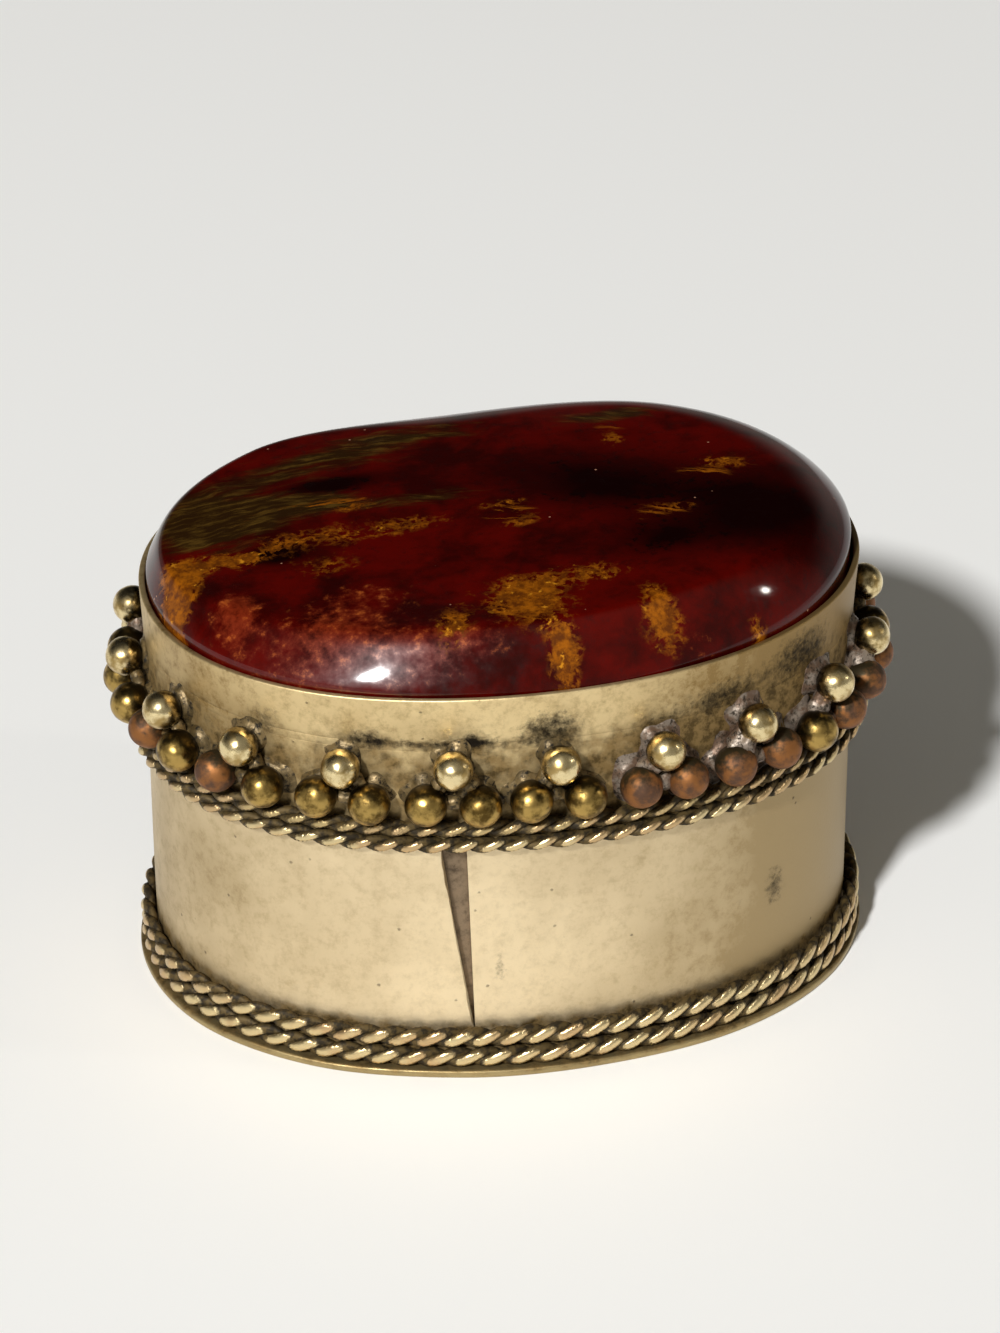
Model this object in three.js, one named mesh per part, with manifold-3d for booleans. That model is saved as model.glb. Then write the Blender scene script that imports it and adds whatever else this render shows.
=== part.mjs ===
// An oval pill box of sheet brass with a lift-off lid. A polished jasper cabochon fills the lid,
// held by a bezel. Twisted wires run round the foot and round the lid's lower edge, and above
// the lid's wires stands a row of granules, soldered together in threes.
//
// Millimetres, +Z up. The box stands on z = 0, its long axis lies along X, and the wall's
// open seam faces -Y.

import * as THREE from 'three';
import { mergeVertices } from 'three/addons/utils/BufferGeometryUtils.js';
import Module from 'manifold-3d';

const wasm = await Module();
wasm.setup();

// Driving dimensions of the oval, over the outside of the wall.
const boxLength = 45;
const boxWidth = 34.4;
const ovalExponent = 2.15; // 2 is an ellipse, and a larger number is squarer

// Sheet thicknesses and the fits between the bands.
const plateThickness = 0.5;
const wallThickness = 0.5;
const neckThickness = 0.5;
const skirtThickness = 0.5;
const bezelThickness = 0.4;
const neckClearance = 0.15; // between the neck and both bands outside it
const lidSeatGap = 0.05; // between the wall's top edge and the lid's lower edge
const solderGap = 0.05; // left between soldered pieces that curve against each other
const cutOverrun = 1; // how far a cutting solid passes the face that it cuts

// The base.
const plateOverhang = 1.1; // how far the foot plate stands out past the wall
const wallHeight = 15.7;
const neckProjection = 4.2; // how far the neck stands up out of the wall, into the lid
const baseWireHeight = 1.4; // the wires at the foot are squashed against the wall
const baseWireDepth = 1;
const baseWireGap = 0.05; // between the wall and the wires at its foot

// The wall's open seam, a wedge that narrows from the wall's top edge down to the wires.
const seamPlace = -5.2; // x of the seam's right-hand edge at the wall's top
const seamLean = 0.5; // how far to the right the seam has moved at its tip
const seamTopWidth = 1.65;
const seamTipWidth = 0.2;
const seamClosedHeight = 3; // of the wall below the seam's tip

// The lid.
const skirtHeight = 6.7;
const lidWireDiameter = 1.1;
const lidWireGap = 0.1;
const bezelHeight = 3.55;
const rimEndFlare = 0.2; // how far the rim leans out past the bezel's foot at each end
const rimSideFlare = 0.4; // the same along each long side
const bezelRimBevel = 0.15;

// The stone: a girdle that follows the bezel, then a low crown that rises to one end.
const stoneClearance = 0.1;
const stoneGirdleBelowRim = 0.35;
const crownRise = 4;
const crownEndRise = 1.35; // how much higher the crown would be at the +X end than at the middle
const crownRingShares = [1, 0.985, 0.955, 0.91, 0.86, 0.8, 0.72, 0.55];

// The crown's outline, at equal turns from the front, round by +X.
const crownShoulderShares = [0.82, 0.88, 0.85, 0.86, 0.79, 0.94, 0.96, 0.82];
const crownFootShares = [0.2, 0.35, 0.2, 0.2]; // of the rise, at the girdle
const crownSideShares = [0.75, 0.65, 0.7, 1]; // the side's exponent: the less, the rounder
const crownFallShare = 0.09; // how much the top falls from its middle to its shoulder
const crownSoftShare = 0.15; // how widely the top and the side blend

// The granules: threes of two large ones below and one small one above, between them.
const clusterCount = 20;
const lowGranuleDiameter = 2.62;
const highGranuleDiameter = 2.44;
const lowGranuleRise = 3.7; // of the large granules' centres above the skirt's lower edge
const highGranuleRise = 6.05;
const highGranuleGap = 0.1; // between the small granules and the skirt, clear of the lid plate
const granuleSpacingShare = 0.5; // of the threes' spacing, between the two large granules
const firstClusterShare = 0.002; // of the way round the oval, from the middle of the front
const filletDiameter = 0.9; // of the solder between two granules

// Facets.
const bandSegments = 72;
const wireSegments = 48;
const wireSides = 8;
const granuleSegments = 8;
const granuleRings = 6;
const filletSides = 5;
const ovalSamples = 1440; // for measuring along the oval

// Heights that follow from the sizes above.
const wallFoot = plateThickness;
const wallTop = wallFoot + wallHeight;
const neckTop = wallTop + neckProjection;
const skirtFoot = wallTop + lidSeatGap;
const skirtTop = skirtFoot + skirtHeight;
const lidPlateTop = skirtTop + plateThickness;
const rimTop = lidPlateTop + bezelHeight;
const girdleTop = rimTop - stoneGirdleBelowRim;
const frontAngle = -Math.PI / 2;

// The neck's outer face, as a distance from the wall's outer face. Inwards is negative.
const neckOffset = -wallThickness - neckClearance;

// The worn metals and the stone.
const finishes = {
  wall: { color: 0xc9b27a, metalness: 1, roughness: 0.38 },
  neck: { color: 0x6f6254, metalness: 0.9, roughness: 0.6 },
  plate: { color: 0xc2a35c, metalness: 1, roughness: 0.4 },
  wire: { color: 0xc8b486, metalness: 1, roughness: 0.35 },
  granule: { color: 0xa87b45, metalness: 1, roughness: 0.32 },
  jasper: { color: 0x5a1410, metalness: 0, roughness: 0.12 },
};

// A coordinate of the unit oval: a cosine or sine, bulged towards a square by the exponent.
function bulged(value) {
  return Math.sign(value) * Math.abs(value) ** (2 / ovalExponent);
}

// The point of an oval at an angle, moved outwards along its normal by an offset.
function ovalPoint(angle, length, width, offset) {
  const x = (length / 2) * bulged(Math.cos(angle));
  const y = (width / 2) * bulged(Math.sin(angle));
  const steepness = 2 - 2 / ovalExponent;
  const normal = new THREE.Vector2(
    (Math.sign(Math.cos(angle)) * Math.abs(Math.cos(angle)) ** steepness) / length,
    (Math.sign(Math.sin(angle)) * Math.abs(Math.sin(angle)) ** steepness) / width,
  ).normalize();
  return new THREE.Vector2(x, y).addScaledVector(normal, offset);
}

// Only positions matter for a solid, so the rest is dropped and shared vertices are merged.
function closedShell(geometry) {
  const bare = geometry.clone();
  bare.deleteAttribute('normal');
  bare.deleteAttribute('uv');
  return mergeVertices(bare);
}

// Turns a profile round the axis, then moves each vertex to where place() puts it. The profile
// runs up its outer side and down its inner side, in distances from the axis and heights.
function turned(profile, segments, place) {
  const points = profile.map(([distance, height]) => new THREE.Vector2(distance, height));
  const geometry = closedShell(new THREE.LatheGeometry(points, segments));
  const position = geometry.getAttribute('position');
  for (let i = 0; i < position.count; i += 1) {
    const distance = Math.hypot(position.getX(i), position.getZ(i));
    const angle = Math.atan2(position.getX(i), position.getZ(i));
    const spot = place(angle, distance, position.getY(i));
    position.setXYZ(i, spot.x, spot.y, spot.z);
  }
  return geometry;
}

// A band, plate or wire that follows the box's oval. The profile holds offsets from the wall's
// outer face, and an offset of centreOffset lies on the axis.
const centreOffset = -boxLength / 2;

function ovalBand(profile, segments, shape = () => ({ length: boxLength, width: boxWidth })) {
  const fromAxis = profile.map(([offset, height]) => [offset - centreOffset, height]);
  return turned(fromAxis, segments, (angle, distance, height) => {
    if (distance < Math.abs(centreOffset) * Number.EPSILON) {
      return new THREE.Vector3(0, 0, height);
    }
    const { length, width } = shape(height);
    const spot = ovalPoint(angle, length, width, distance + centreOffset);
    return new THREE.Vector3(spot.x, spot.y, height);
  });
}

// The rectangular profile of a band of sheet, closed on itself.
function sheetProfile(outerOffset, thickness, foot, top) {
  const innerOffset = outerOffset - thickness;
  return [
    [outerOffset, foot],
    [outerOffset, top],
    [innerOffset, top],
    [innerOffset, foot],
    [outerOffset, foot],
  ];
}

// The profile of a flat plate, from the axis out and back.
function plateProfile(edgeOffset, foot, top) {
  return [
    [centreOffset, foot],
    [edgeOffset, foot],
    [edgeOffset, top],
    [centreOffset, top],
  ];
}

// The round or squashed profile of a wire, closed on itself.
function wireProfile(centre, middle, depth, height) {
  const corners = [];
  for (let i = 0; i <= wireSides; i += 1) {
    const turn = ((i % wireSides) + 1 / 2) * ((2 * Math.PI) / wireSides);
    corners.push([
      centre + (depth / 2) * Math.cos(turn),
      middle + (height / 2) * Math.sin(turn),
    ]);
  }
  return corners;
}

function toManifold(geometry) {
  const shell = closedShell(geometry);
  const solid = new wasm.Mesh({
    numProp: 3,
    vertProperties: new Float32Array(shell.getAttribute('position').array),
    triVerts: new Uint32Array(shell.getIndex().array),
  });
  return new wasm.Manifold(solid);
}

function fromManifold(solid) {
  const mesh = solid.getMesh();
  const geometry = new THREE.BufferGeometry();
  geometry.setAttribute('position', new THREE.BufferAttribute(mesh.vertProperties, mesh.numProp));
  geometry.setIndex(new THREE.BufferAttribute(mesh.triVerts, 1));
  return geometry;
}

const box = new THREE.Group();

function addPiece(name, geometry, finish) {
  const flat = geometry.index ? geometry.toNonIndexed() : geometry;
  flat.computeVertexNormals();
  const mesh = new THREE.Mesh(flat, new THREE.MeshStandardMaterial(finish));
  mesh.name = name;
  box.add(mesh);
}

// The foot plate, which stands out past the wall to carry the wires.
function basePlate() {
  return ovalBand(plateProfile(plateOverhang, 0, plateThickness), bandSegments);
}

// The wall, bent round from one strip. Its ends meet in a seam that has sprung open.
function baseWall() {
  const band = ovalBand(sheetProfile(0, wallThickness, wallFoot, wallTop), bandSegments);
  const wedge = new THREE.Shape();
  wedge.moveTo(seamPlace + seamLean, wallFoot + seamClosedHeight);
  wedge.lineTo(seamPlace, wallTop);
  wedge.lineTo(seamPlace, wallTop + cutOverrun);
  wedge.lineTo(seamPlace - seamTopWidth, wallTop + cutOverrun);
  wedge.lineTo(seamPlace - seamTopWidth, wallTop);
  wedge.lineTo(seamPlace + seamLean - seamTipWidth, wallFoot + seamClosedHeight);
  wedge.closePath();
  const depth = wallThickness + 2 * cutOverrun;
  const cutter = new THREE.ExtrudeGeometry(wedge, { depth, bevelEnabled: false });
  cutter.rotateX(Math.PI / 2);
  cutter.translate(0, wallThickness + cutOverrun - boxWidth / 2, 0);
  return fromManifold(toManifold(band).subtract(toManifold(cutter)));
}

// The inner band. It lines the wall and stands up out of it as the neck that the lid grips.
function neckBand() {
  return ovalBand(sheetProfile(neckOffset, neckThickness, wallFoot, neckTop), bandSegments);
}

// Both pairs of wires lie one on the other against their band, with their ends butted.
function wirePair(prefix, foot, gap, depth, height) {
  const lowMiddle = foot + solderGap + height / 2;
  const highMiddle = lowMiddle + height + solderGap;
  for (const [level, middle] of [['lower', lowMiddle], ['upper', highMiddle]]) {
    const profile = wireProfile(gap + depth / 2, middle, depth, height);
    addPiece(`${prefix}_wire_${level}`, ovalBand(profile, wireSegments), finishes.wire);
  }
}

function lidSkirt() {
  return ovalBand(sheetProfile(0, skirtThickness, skirtFoot, skirtTop), bandSegments);
}

// The plate that closes the lid and carries the stone and the bezel.
function lidPlate() {
  return ovalBand(plateProfile(0, skirtTop, lidPlateTop), bandSegments);
}

// The bezel's outline over its outside, which widens a little towards the rim.
function bezelOutline(height) {
  const climbed = (height - lidPlateTop) / bezelHeight;
  return {
    length: boxLength + 2 * rimEndFlare * climbed,
    width: boxWidth + 2 * rimSideFlare * climbed,
  };
}

// The bezel stands on the lid plate's edge and holds the stone.
function bezelBand() {
  const inner = -bezelThickness;
  const profile = [
    [0, lidPlateTop],
    [0, rimTop - bezelRimBevel],
    [-bezelRimBevel, rimTop],
    [inner, rimTop],
    [inner, lidPlateTop],
    [0, lidPlateTop],
  ];
  return ovalBand(profile, bandSegments, bezelOutline);
}

// The value at an angle of shares that stand at equal turns from the front, round by +X.
function shareAround(shares, angle) {
  const turn = THREE.MathUtils.euclideanModulo((angle - frontAngle) / (2 * Math.PI), 1);
  const before = Math.floor(turn * shares.length) % shares.length;
  const after = (before + 1) % shares.length;
  const eased = THREE.MathUtils.smoothstep(turn * shares.length - before, 0, 1);
  return THREE.MathUtils.lerp(shares[before], shares[after], eased);
}

// How high the crown stands, as a share of its rise: a nearly flat top, and a side that falls
// from the shoulder to the foot, with a blend where they meet.
function crownHeightShare(share, angle) {
  const shoulder = shareAround(crownShoulderShares, angle);
  const foot = shareAround(crownFootShares, angle);
  const reach = ((1 - share) / (1 - shoulder)) ** shareAround(crownSideShares, angle);
  const top = 1 - crownFallShare * (share / shoulder) ** 2;
  const side = foot + (1 - crownFallShare - foot) * reach;
  const blend = Math.max(0, crownSoftShare - Math.abs(top - side)) / crownSoftShare;
  return Math.min(top, side) - (blend ** 2 * crownSoftShare) / 4;
}

// The cabochon. Its girdle follows the bezel, and its crown rises to one end.
function stoneCabochon() {
  const room = 2 * (bezelThickness + stoneClearance);
  const profile = [[0, lidPlateTop], [1, lidPlateTop], [1, girdleTop]];
  for (const share of crownRingShares) {
    profile.push([share, girdleTop + crownRise]);
  }
  profile.push([0, girdleTop + crownRise]);
  return turned(profile, bandSegments, (angle, share, height) => {
    const { length, width } = bezelOutline(Math.min(height, girdleTop));
    const edge = ovalPoint(angle, length - room, width - room, 0);
    const x = edge.x * share;
    if (height <= girdleTop) {
      return new THREE.Vector3(x, edge.y * share, height);
    }
    const rise = crownRise + (crownEndRise * x) / (length / 2);
    return new THREE.Vector3(
      x,
      edge.y * share,
      girdleTop + rise * crownHeightShare(Math.min(share, 1), angle),
    );
  });
}

// The oval's points at equal small angles, with the length walked to each from the front.
function walkOval() {
  const walk = [];
  let walked = 0;
  let last = ovalPoint(frontAngle, boxLength, boxWidth, 0);
  for (let i = 0; i <= ovalSamples; i += 1) {
    const angle = frontAngle + (i * 2 * Math.PI) / ovalSamples;
    const point = ovalPoint(angle, boxLength, boxWidth, 0);
    walked += point.distanceTo(last);
    walk.push({ angle, walked });
    last = point;
  }
  return walk;
}

const ovalWalk = walkOval();
const ovalLength = ovalWalk[ovalSamples].walked;

// Where a granule's centre lies: a length along the oval, a distance off it and a height.
function granuleCentre(walked, offset, height) {
  const along = ((walked % ovalLength) + ovalLength) % ovalLength;
  const next = Math.max(1, ovalWalk.findIndex((step) => step.walked >= along));
  const before = ovalWalk[next - 1];
  const after = ovalWalk[next];
  const share = (along - before.walked) / (after.walked - before.walked);
  const angle = before.angle + share * (after.angle - before.angle);
  const spot = ovalPoint(angle, boxLength, boxWidth, offset);
  return new THREE.Vector3(spot.x, spot.y, height);
}

function granule(centre, diameter) {
  const ball = new THREE.SphereGeometry(diameter / 2, granuleSegments, granuleRings);
  ball.translate(centre.x, centre.y, centre.z);
  return toManifold(ball);
}

// The solder that has run between two granules.
function solderFillet(from, to) {
  const run = new THREE.Vector3().subVectors(to, from);
  const rod = new THREE.CylinderGeometry(
    filletDiameter / 2,
    filletDiameter / 2,
    run.length(),
    filletSides,
  );
  const up = new THREE.Vector3(0, 1, 0);
  rod.applyQuaternion(new THREE.Quaternion().setFromUnitVectors(up, run.clone().normalize()));
  const middle = new THREE.Vector3().addVectors(from, to).multiplyScalar(1 / 2);
  rod.translate(middle.x, middle.y, middle.z);
  return toManifold(rod);
}

function granuleCluster(index) {
  const spacing = ovalLength / clusterCount;
  const middle = ovalLength * firstClusterShare + index * spacing;
  const reach = (spacing * granuleSpacingShare) / 2;
  const lowOffset = solderGap + lowGranuleDiameter / 2;
  const highOffset = highGranuleGap + highGranuleDiameter / 2;
  const left = granuleCentre(middle - reach, lowOffset, skirtFoot + lowGranuleRise);
  const right = granuleCentre(middle + reach, lowOffset, skirtFoot + lowGranuleRise);
  const top = granuleCentre(middle, highOffset, skirtFoot + highGranuleRise);
  return granule(left, lowGranuleDiameter)
    .add(granule(right, lowGranuleDiameter))
    .add(granule(top, highGranuleDiameter))
    .add(solderFillet(left, right))
    .add(solderFillet(left, top))
    .add(solderFillet(right, top));
}

addPiece('base_plate', basePlate(), finishes.plate);
addPiece('base_wall', baseWall(), finishes.wall);
addPiece('neck_band', neckBand(), finishes.neck);
wirePair('base', wallFoot, baseWireGap, baseWireDepth, baseWireHeight);
addPiece('lid_skirt', lidSkirt(), finishes.wall);
wirePair('lid', skirtFoot - solderGap, lidWireGap, lidWireDiameter, lidWireDiameter);
addPiece('lid_plate', lidPlate(), finishes.plate);
addPiece('bezel_band', bezelBand(), finishes.wall);
addPiece('stone_cabochon', stoneCabochon(), finishes.jasper);
for (let i = 0; i < clusterCount; i += 1) {
  const name = `granule_cluster_${String(i + 1).padStart(2, '0')}`;
  addPiece(name, fromManifold(granuleCluster(i)), finishes.granule);
}

export default box;
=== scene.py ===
"""The looks of an oval pill box of worn brass sheet, its lid set with a polished jasper cabochon.

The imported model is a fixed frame. Every piece here replaces one of its nodes, on the same oval
and at the same heights, in metres. The box stands on z = 0, its long axis lies along X, and the
wall's open seam faces -Y. A share is a part of the way round the oval, from the middle of the
front towards +X, and an along is the same in metres.
"""

import logging
import math
import random
from bisect import bisect_right
from collections.abc import Callable, Iterable, Sequence
from dataclasses import dataclass, field, replace
from enum import Enum
from functools import cached_property, lru_cache
from itertools import pairwise

import bmesh
import bpy
from mathutils import Matrix, Vector, noise


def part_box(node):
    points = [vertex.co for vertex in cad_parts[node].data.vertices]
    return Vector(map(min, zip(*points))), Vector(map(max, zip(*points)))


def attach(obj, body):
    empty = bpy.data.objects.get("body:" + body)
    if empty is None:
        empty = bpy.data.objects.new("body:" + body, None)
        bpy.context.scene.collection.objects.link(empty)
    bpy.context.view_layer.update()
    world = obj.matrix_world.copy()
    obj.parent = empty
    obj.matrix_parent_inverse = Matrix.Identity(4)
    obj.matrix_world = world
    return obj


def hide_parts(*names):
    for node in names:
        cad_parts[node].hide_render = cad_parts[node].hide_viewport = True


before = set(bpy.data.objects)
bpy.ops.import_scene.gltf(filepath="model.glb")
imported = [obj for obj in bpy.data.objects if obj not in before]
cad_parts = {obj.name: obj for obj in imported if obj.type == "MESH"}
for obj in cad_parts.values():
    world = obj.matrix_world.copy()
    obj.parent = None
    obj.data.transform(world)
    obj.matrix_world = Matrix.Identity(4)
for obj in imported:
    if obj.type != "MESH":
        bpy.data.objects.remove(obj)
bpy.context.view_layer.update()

LOG = logging.getLogger("pill_box")

MM = 0.001
FULL_TURN = 2 * math.pi

# A ring is made of so many sectors, of which one is spun and the rest are copies.
SECTORS = 16
MERGE_DISTANCE = 1e-4 * MM

# An edge that turns by more than this, in radians, is sharp and gets rounded.
SHARP_ANGLE = 1.0
ROUNDING_STEPS = 3

# Rows of points keep so many edge widths away from an edge, which leaves its rounding room.
EDGE_GUARD = 2.5

# Shares of the way round are told apart to so many decimals.
SHARE_DIGITS = 7

# Sockets of the colour Mix node, which have no names of their own.
FACTOR = 0
UNDER = 6
OVER = 7
MIXED = 2

# Point attributes that the meshes carry and the materials read.
CREST = "crest"
SOOT = "soot"
# This attribute: stains and dirt, with painted shade added on the lid's right side.
STAIN = "stain"
# This attribute: tarnish, with painted shade, towards the oval's ends, most on the right.
TARNISH = "tarnish"
# This attribute: tarnish, with painted shade and a painted dark reflection, on a granule's top and
# back.
SHELTER = "shelter"

Colour = tuple[float, float, float, float]
Limits = tuple[float, float]
Socket = bpy.types.NodeSocket
Paint = Socket | str
Tree = bpy.types.NodeTree
Mesh = bmesh.types.BMesh


def linear(code: str) -> Colour:
    """Turn an sRGB hex colour into Blender's linear colour.

    Args:
        code: Six hex digits, such as "c8b482".

    Returns:
        Red, green, blue and an alpha of 1.
    """
    shares = [int(code[i : i + 2], 16) / 255 for i in (0, 2, 4)]
    bent = [c / 12.92 if c <= 0.04045 else ((c + 0.055) / 1.055) ** 2.4 for c in shares]
    return (bent[0], bent[1], bent[2], 1.0)


def add_node(
    tree: Tree,
    kind: str,
    inputs: dict[str | int, object],
    output: str | int = 0,
    **settings: object,
) -> Socket | None:
    """Add a shader node with its settings, values and links.

    Args:
        tree: The node tree that gets the node.
        kind: The node's type, without ShaderNode in front.
        inputs: A value, or another node's output, for each named or numbered input.
        output: The output that is wanted.
        **settings: The node's own properties.

    Returns:
        The wanted output, or None on a node without outputs.
    """
    node = tree.nodes.new("ShaderNode" + kind)
    for name, value in settings.items():
        setattr(node, name, value)
    for key, value in inputs.items():
        if isinstance(value, bpy.types.NodeSocket):
            tree.links.new(value, node.inputs[key])
        else:
            node.inputs[key].default_value = value
    return node.outputs[output] if node.outputs else None


def smoothstep(low: float, high: float, value: float) -> float:
    """Rise smoothly from 0 at low to 1 at high."""
    share = min(1.0, max(0.0, (value - low) / (high - low)))
    return share * share * (3 - 2 * share)


def layered(tree: Tree, ground: Paint, *layers: tuple[Socket, Paint]) -> Socket:
    """Lay colours over a ground.

    Args:
        tree: The material's node tree.
        ground: The colour below, as hex digits or a node's output.
        *layers: A mask and a colour for each layer, the lowest first.

    Returns:
        The colour that shows.
    """
    shown = ground
    for mask, colour in layers:
        under, over = (linear(c) if isinstance(c, str) else c for c in (shown, colour))
        mixed = {FACTOR: mask, UNDER: under, OVER: over}
        shown = add_node(tree, "Mix", mixed, MIXED, data_type="RGBA")
    return shown


def marked(tree: Tree, attribute: str, cloud: Socket, limits: Limits) -> Socket:
    """Make a ragged mask where a mesh's attribute is high.

    Args:
        tree: The material's node tree.
        attribute: The point attribute's name.
        cloud: Noise that frays the mask's edge.
        limits: The sums of attribute and noise at which the mask starts and is full.

    Returns:
        The mask.
    """
    level = add_node(tree, "Attribute", {}, "Fac", attribute_name=attribute)
    frayed = add_node(tree, "Math", {0: level, 1: cloud}, operation="ADD")
    steps = {"Value": frayed, "From Min": limits[0], "From Max": limits[1]}
    return add_node(tree, "MapRange", steps, interpolation_type="SMOOTHSTEP")


def specks(tree: Tree, vector: Socket, spacing: float, radius: float, share: float) -> Socket:
    """Make a mask of scattered specks.

    Args:
        tree: The material's node tree.
        vector: The coordinates, in metres.
        spacing: The distance between the places for specks, in metres.
        radius: A speck's radius, in metres.
        share: The share of the places that have a speck.

    Returns:
        The mask.
    """
    near = add_node(tree, "TexVoronoi", {"Vector": vector, "Scale": 1 / spacing})
    edge = {"Value": near, "From Min": radius / spacing, "From Max": radius / spacing / 2}
    spot = add_node(tree, "MapRange", edge)
    draw = add_node(tree, "SeparateColor", {0: near.node.outputs["Color"]})
    kept = add_node(tree, "Math", {0: draw, 1: share}, operation="LESS_THAN")
    return add_node(tree, "Math", {0: spot, 1: kept}, operation="MULTIPLY")


@dataclass(frozen=True)
class Cloud:
    """A pattern of noise: its patches' width in metres, and how fine and strong its detail is.

    The limits are the noise values, from 0 to 1, at which a mask starts and is full. Where the
    mask follows an attribute, they are sums of attribute and noise.
    """

    size: float
    limits: Limits = (0.0, 1.0)
    detail: float = 4.0
    roughness: float = 0.6

    def levels(self, tree: Tree, vector: Socket) -> Socket:
        """Make the noise itself.

        Args:
            tree: The material's node tree.
            vector: The coordinates, in metres.

        Returns:
            The noise.
        """
        shape = {"Vector": vector, "Scale": 1 / self.size, "Detail": self.detail}
        return add_node(tree, "TexNoise", {**shape, "Roughness": self.roughness})

    def patches(self, tree: Tree, vector: Socket) -> Socket:
        """Make a mask of soft patches.

        Args:
            tree: The material's node tree.
            vector: The coordinates, in metres.

        Returns:
            The mask.
        """
        cloud = self.levels(tree, vector)
        steps = {"Value": cloud, "From Min": self.limits[0], "From Max": self.limits[1]}
        return add_node(tree, "MapRange", steps, interpolation_type="SMOOTHSTEP")

    def fray(self, tree: Tree, vector: Socket, attribute: str) -> Socket:
        """Make a mask where a mesh's attribute is high, with an edge that the noise frays."""
        return marked(tree, attribute, self.levels(tree, vector), self.limits)

    def lines(self, tree: Tree, vector: Socket, width: float) -> Socket:
        """Make a mask of thin, winding lines, which lie where the noise crosses its middle.

        Args:
            tree: The material's node tree.
            vector: The coordinates, in metres.
            width: How far from its middle the noise may be, which sets the lines' width.

        Returns:
            The mask.
        """
        cloud = self.levels(tree, vector)
        past = add_node(tree, "Math", {0: cloud, 1: 0.5}, operation="SUBTRACT")
        far = add_node(tree, "Math", {0: past}, operation="ABSOLUTE")
        edge = {"Value": far, "From Min": width, "From Max": width / 3}
        return add_node(tree, "MapRange", edge)


@dataclass(frozen=True)
class Finish:
    """A surface finish, which becomes one material."""

    name: str

    def material(self) -> bpy.types.Material:
        """Build the finish's material.

        Returns:
            The material, which reads the object's own coordinates.
        """
        made = bpy.data.materials.new(self.name)
        made.use_nodes = True
        tree = made.node_tree
        tree.nodes.clear()
        coordinates = add_node(tree, "TexCoord", {}, "Object")
        add_node(tree, "OutputMaterial", {"Surface": self.shade(tree, coordinates)})
        return made

    def shade(self, tree: Tree, coordinates: Socket) -> Socket:
        """Build the finish's shader.

        Args:
            tree: The material's node tree.
            coordinates: The object's coordinates, in metres.

        Returns:
            The shader's output.
        """
        raise NotImplementedError


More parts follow.
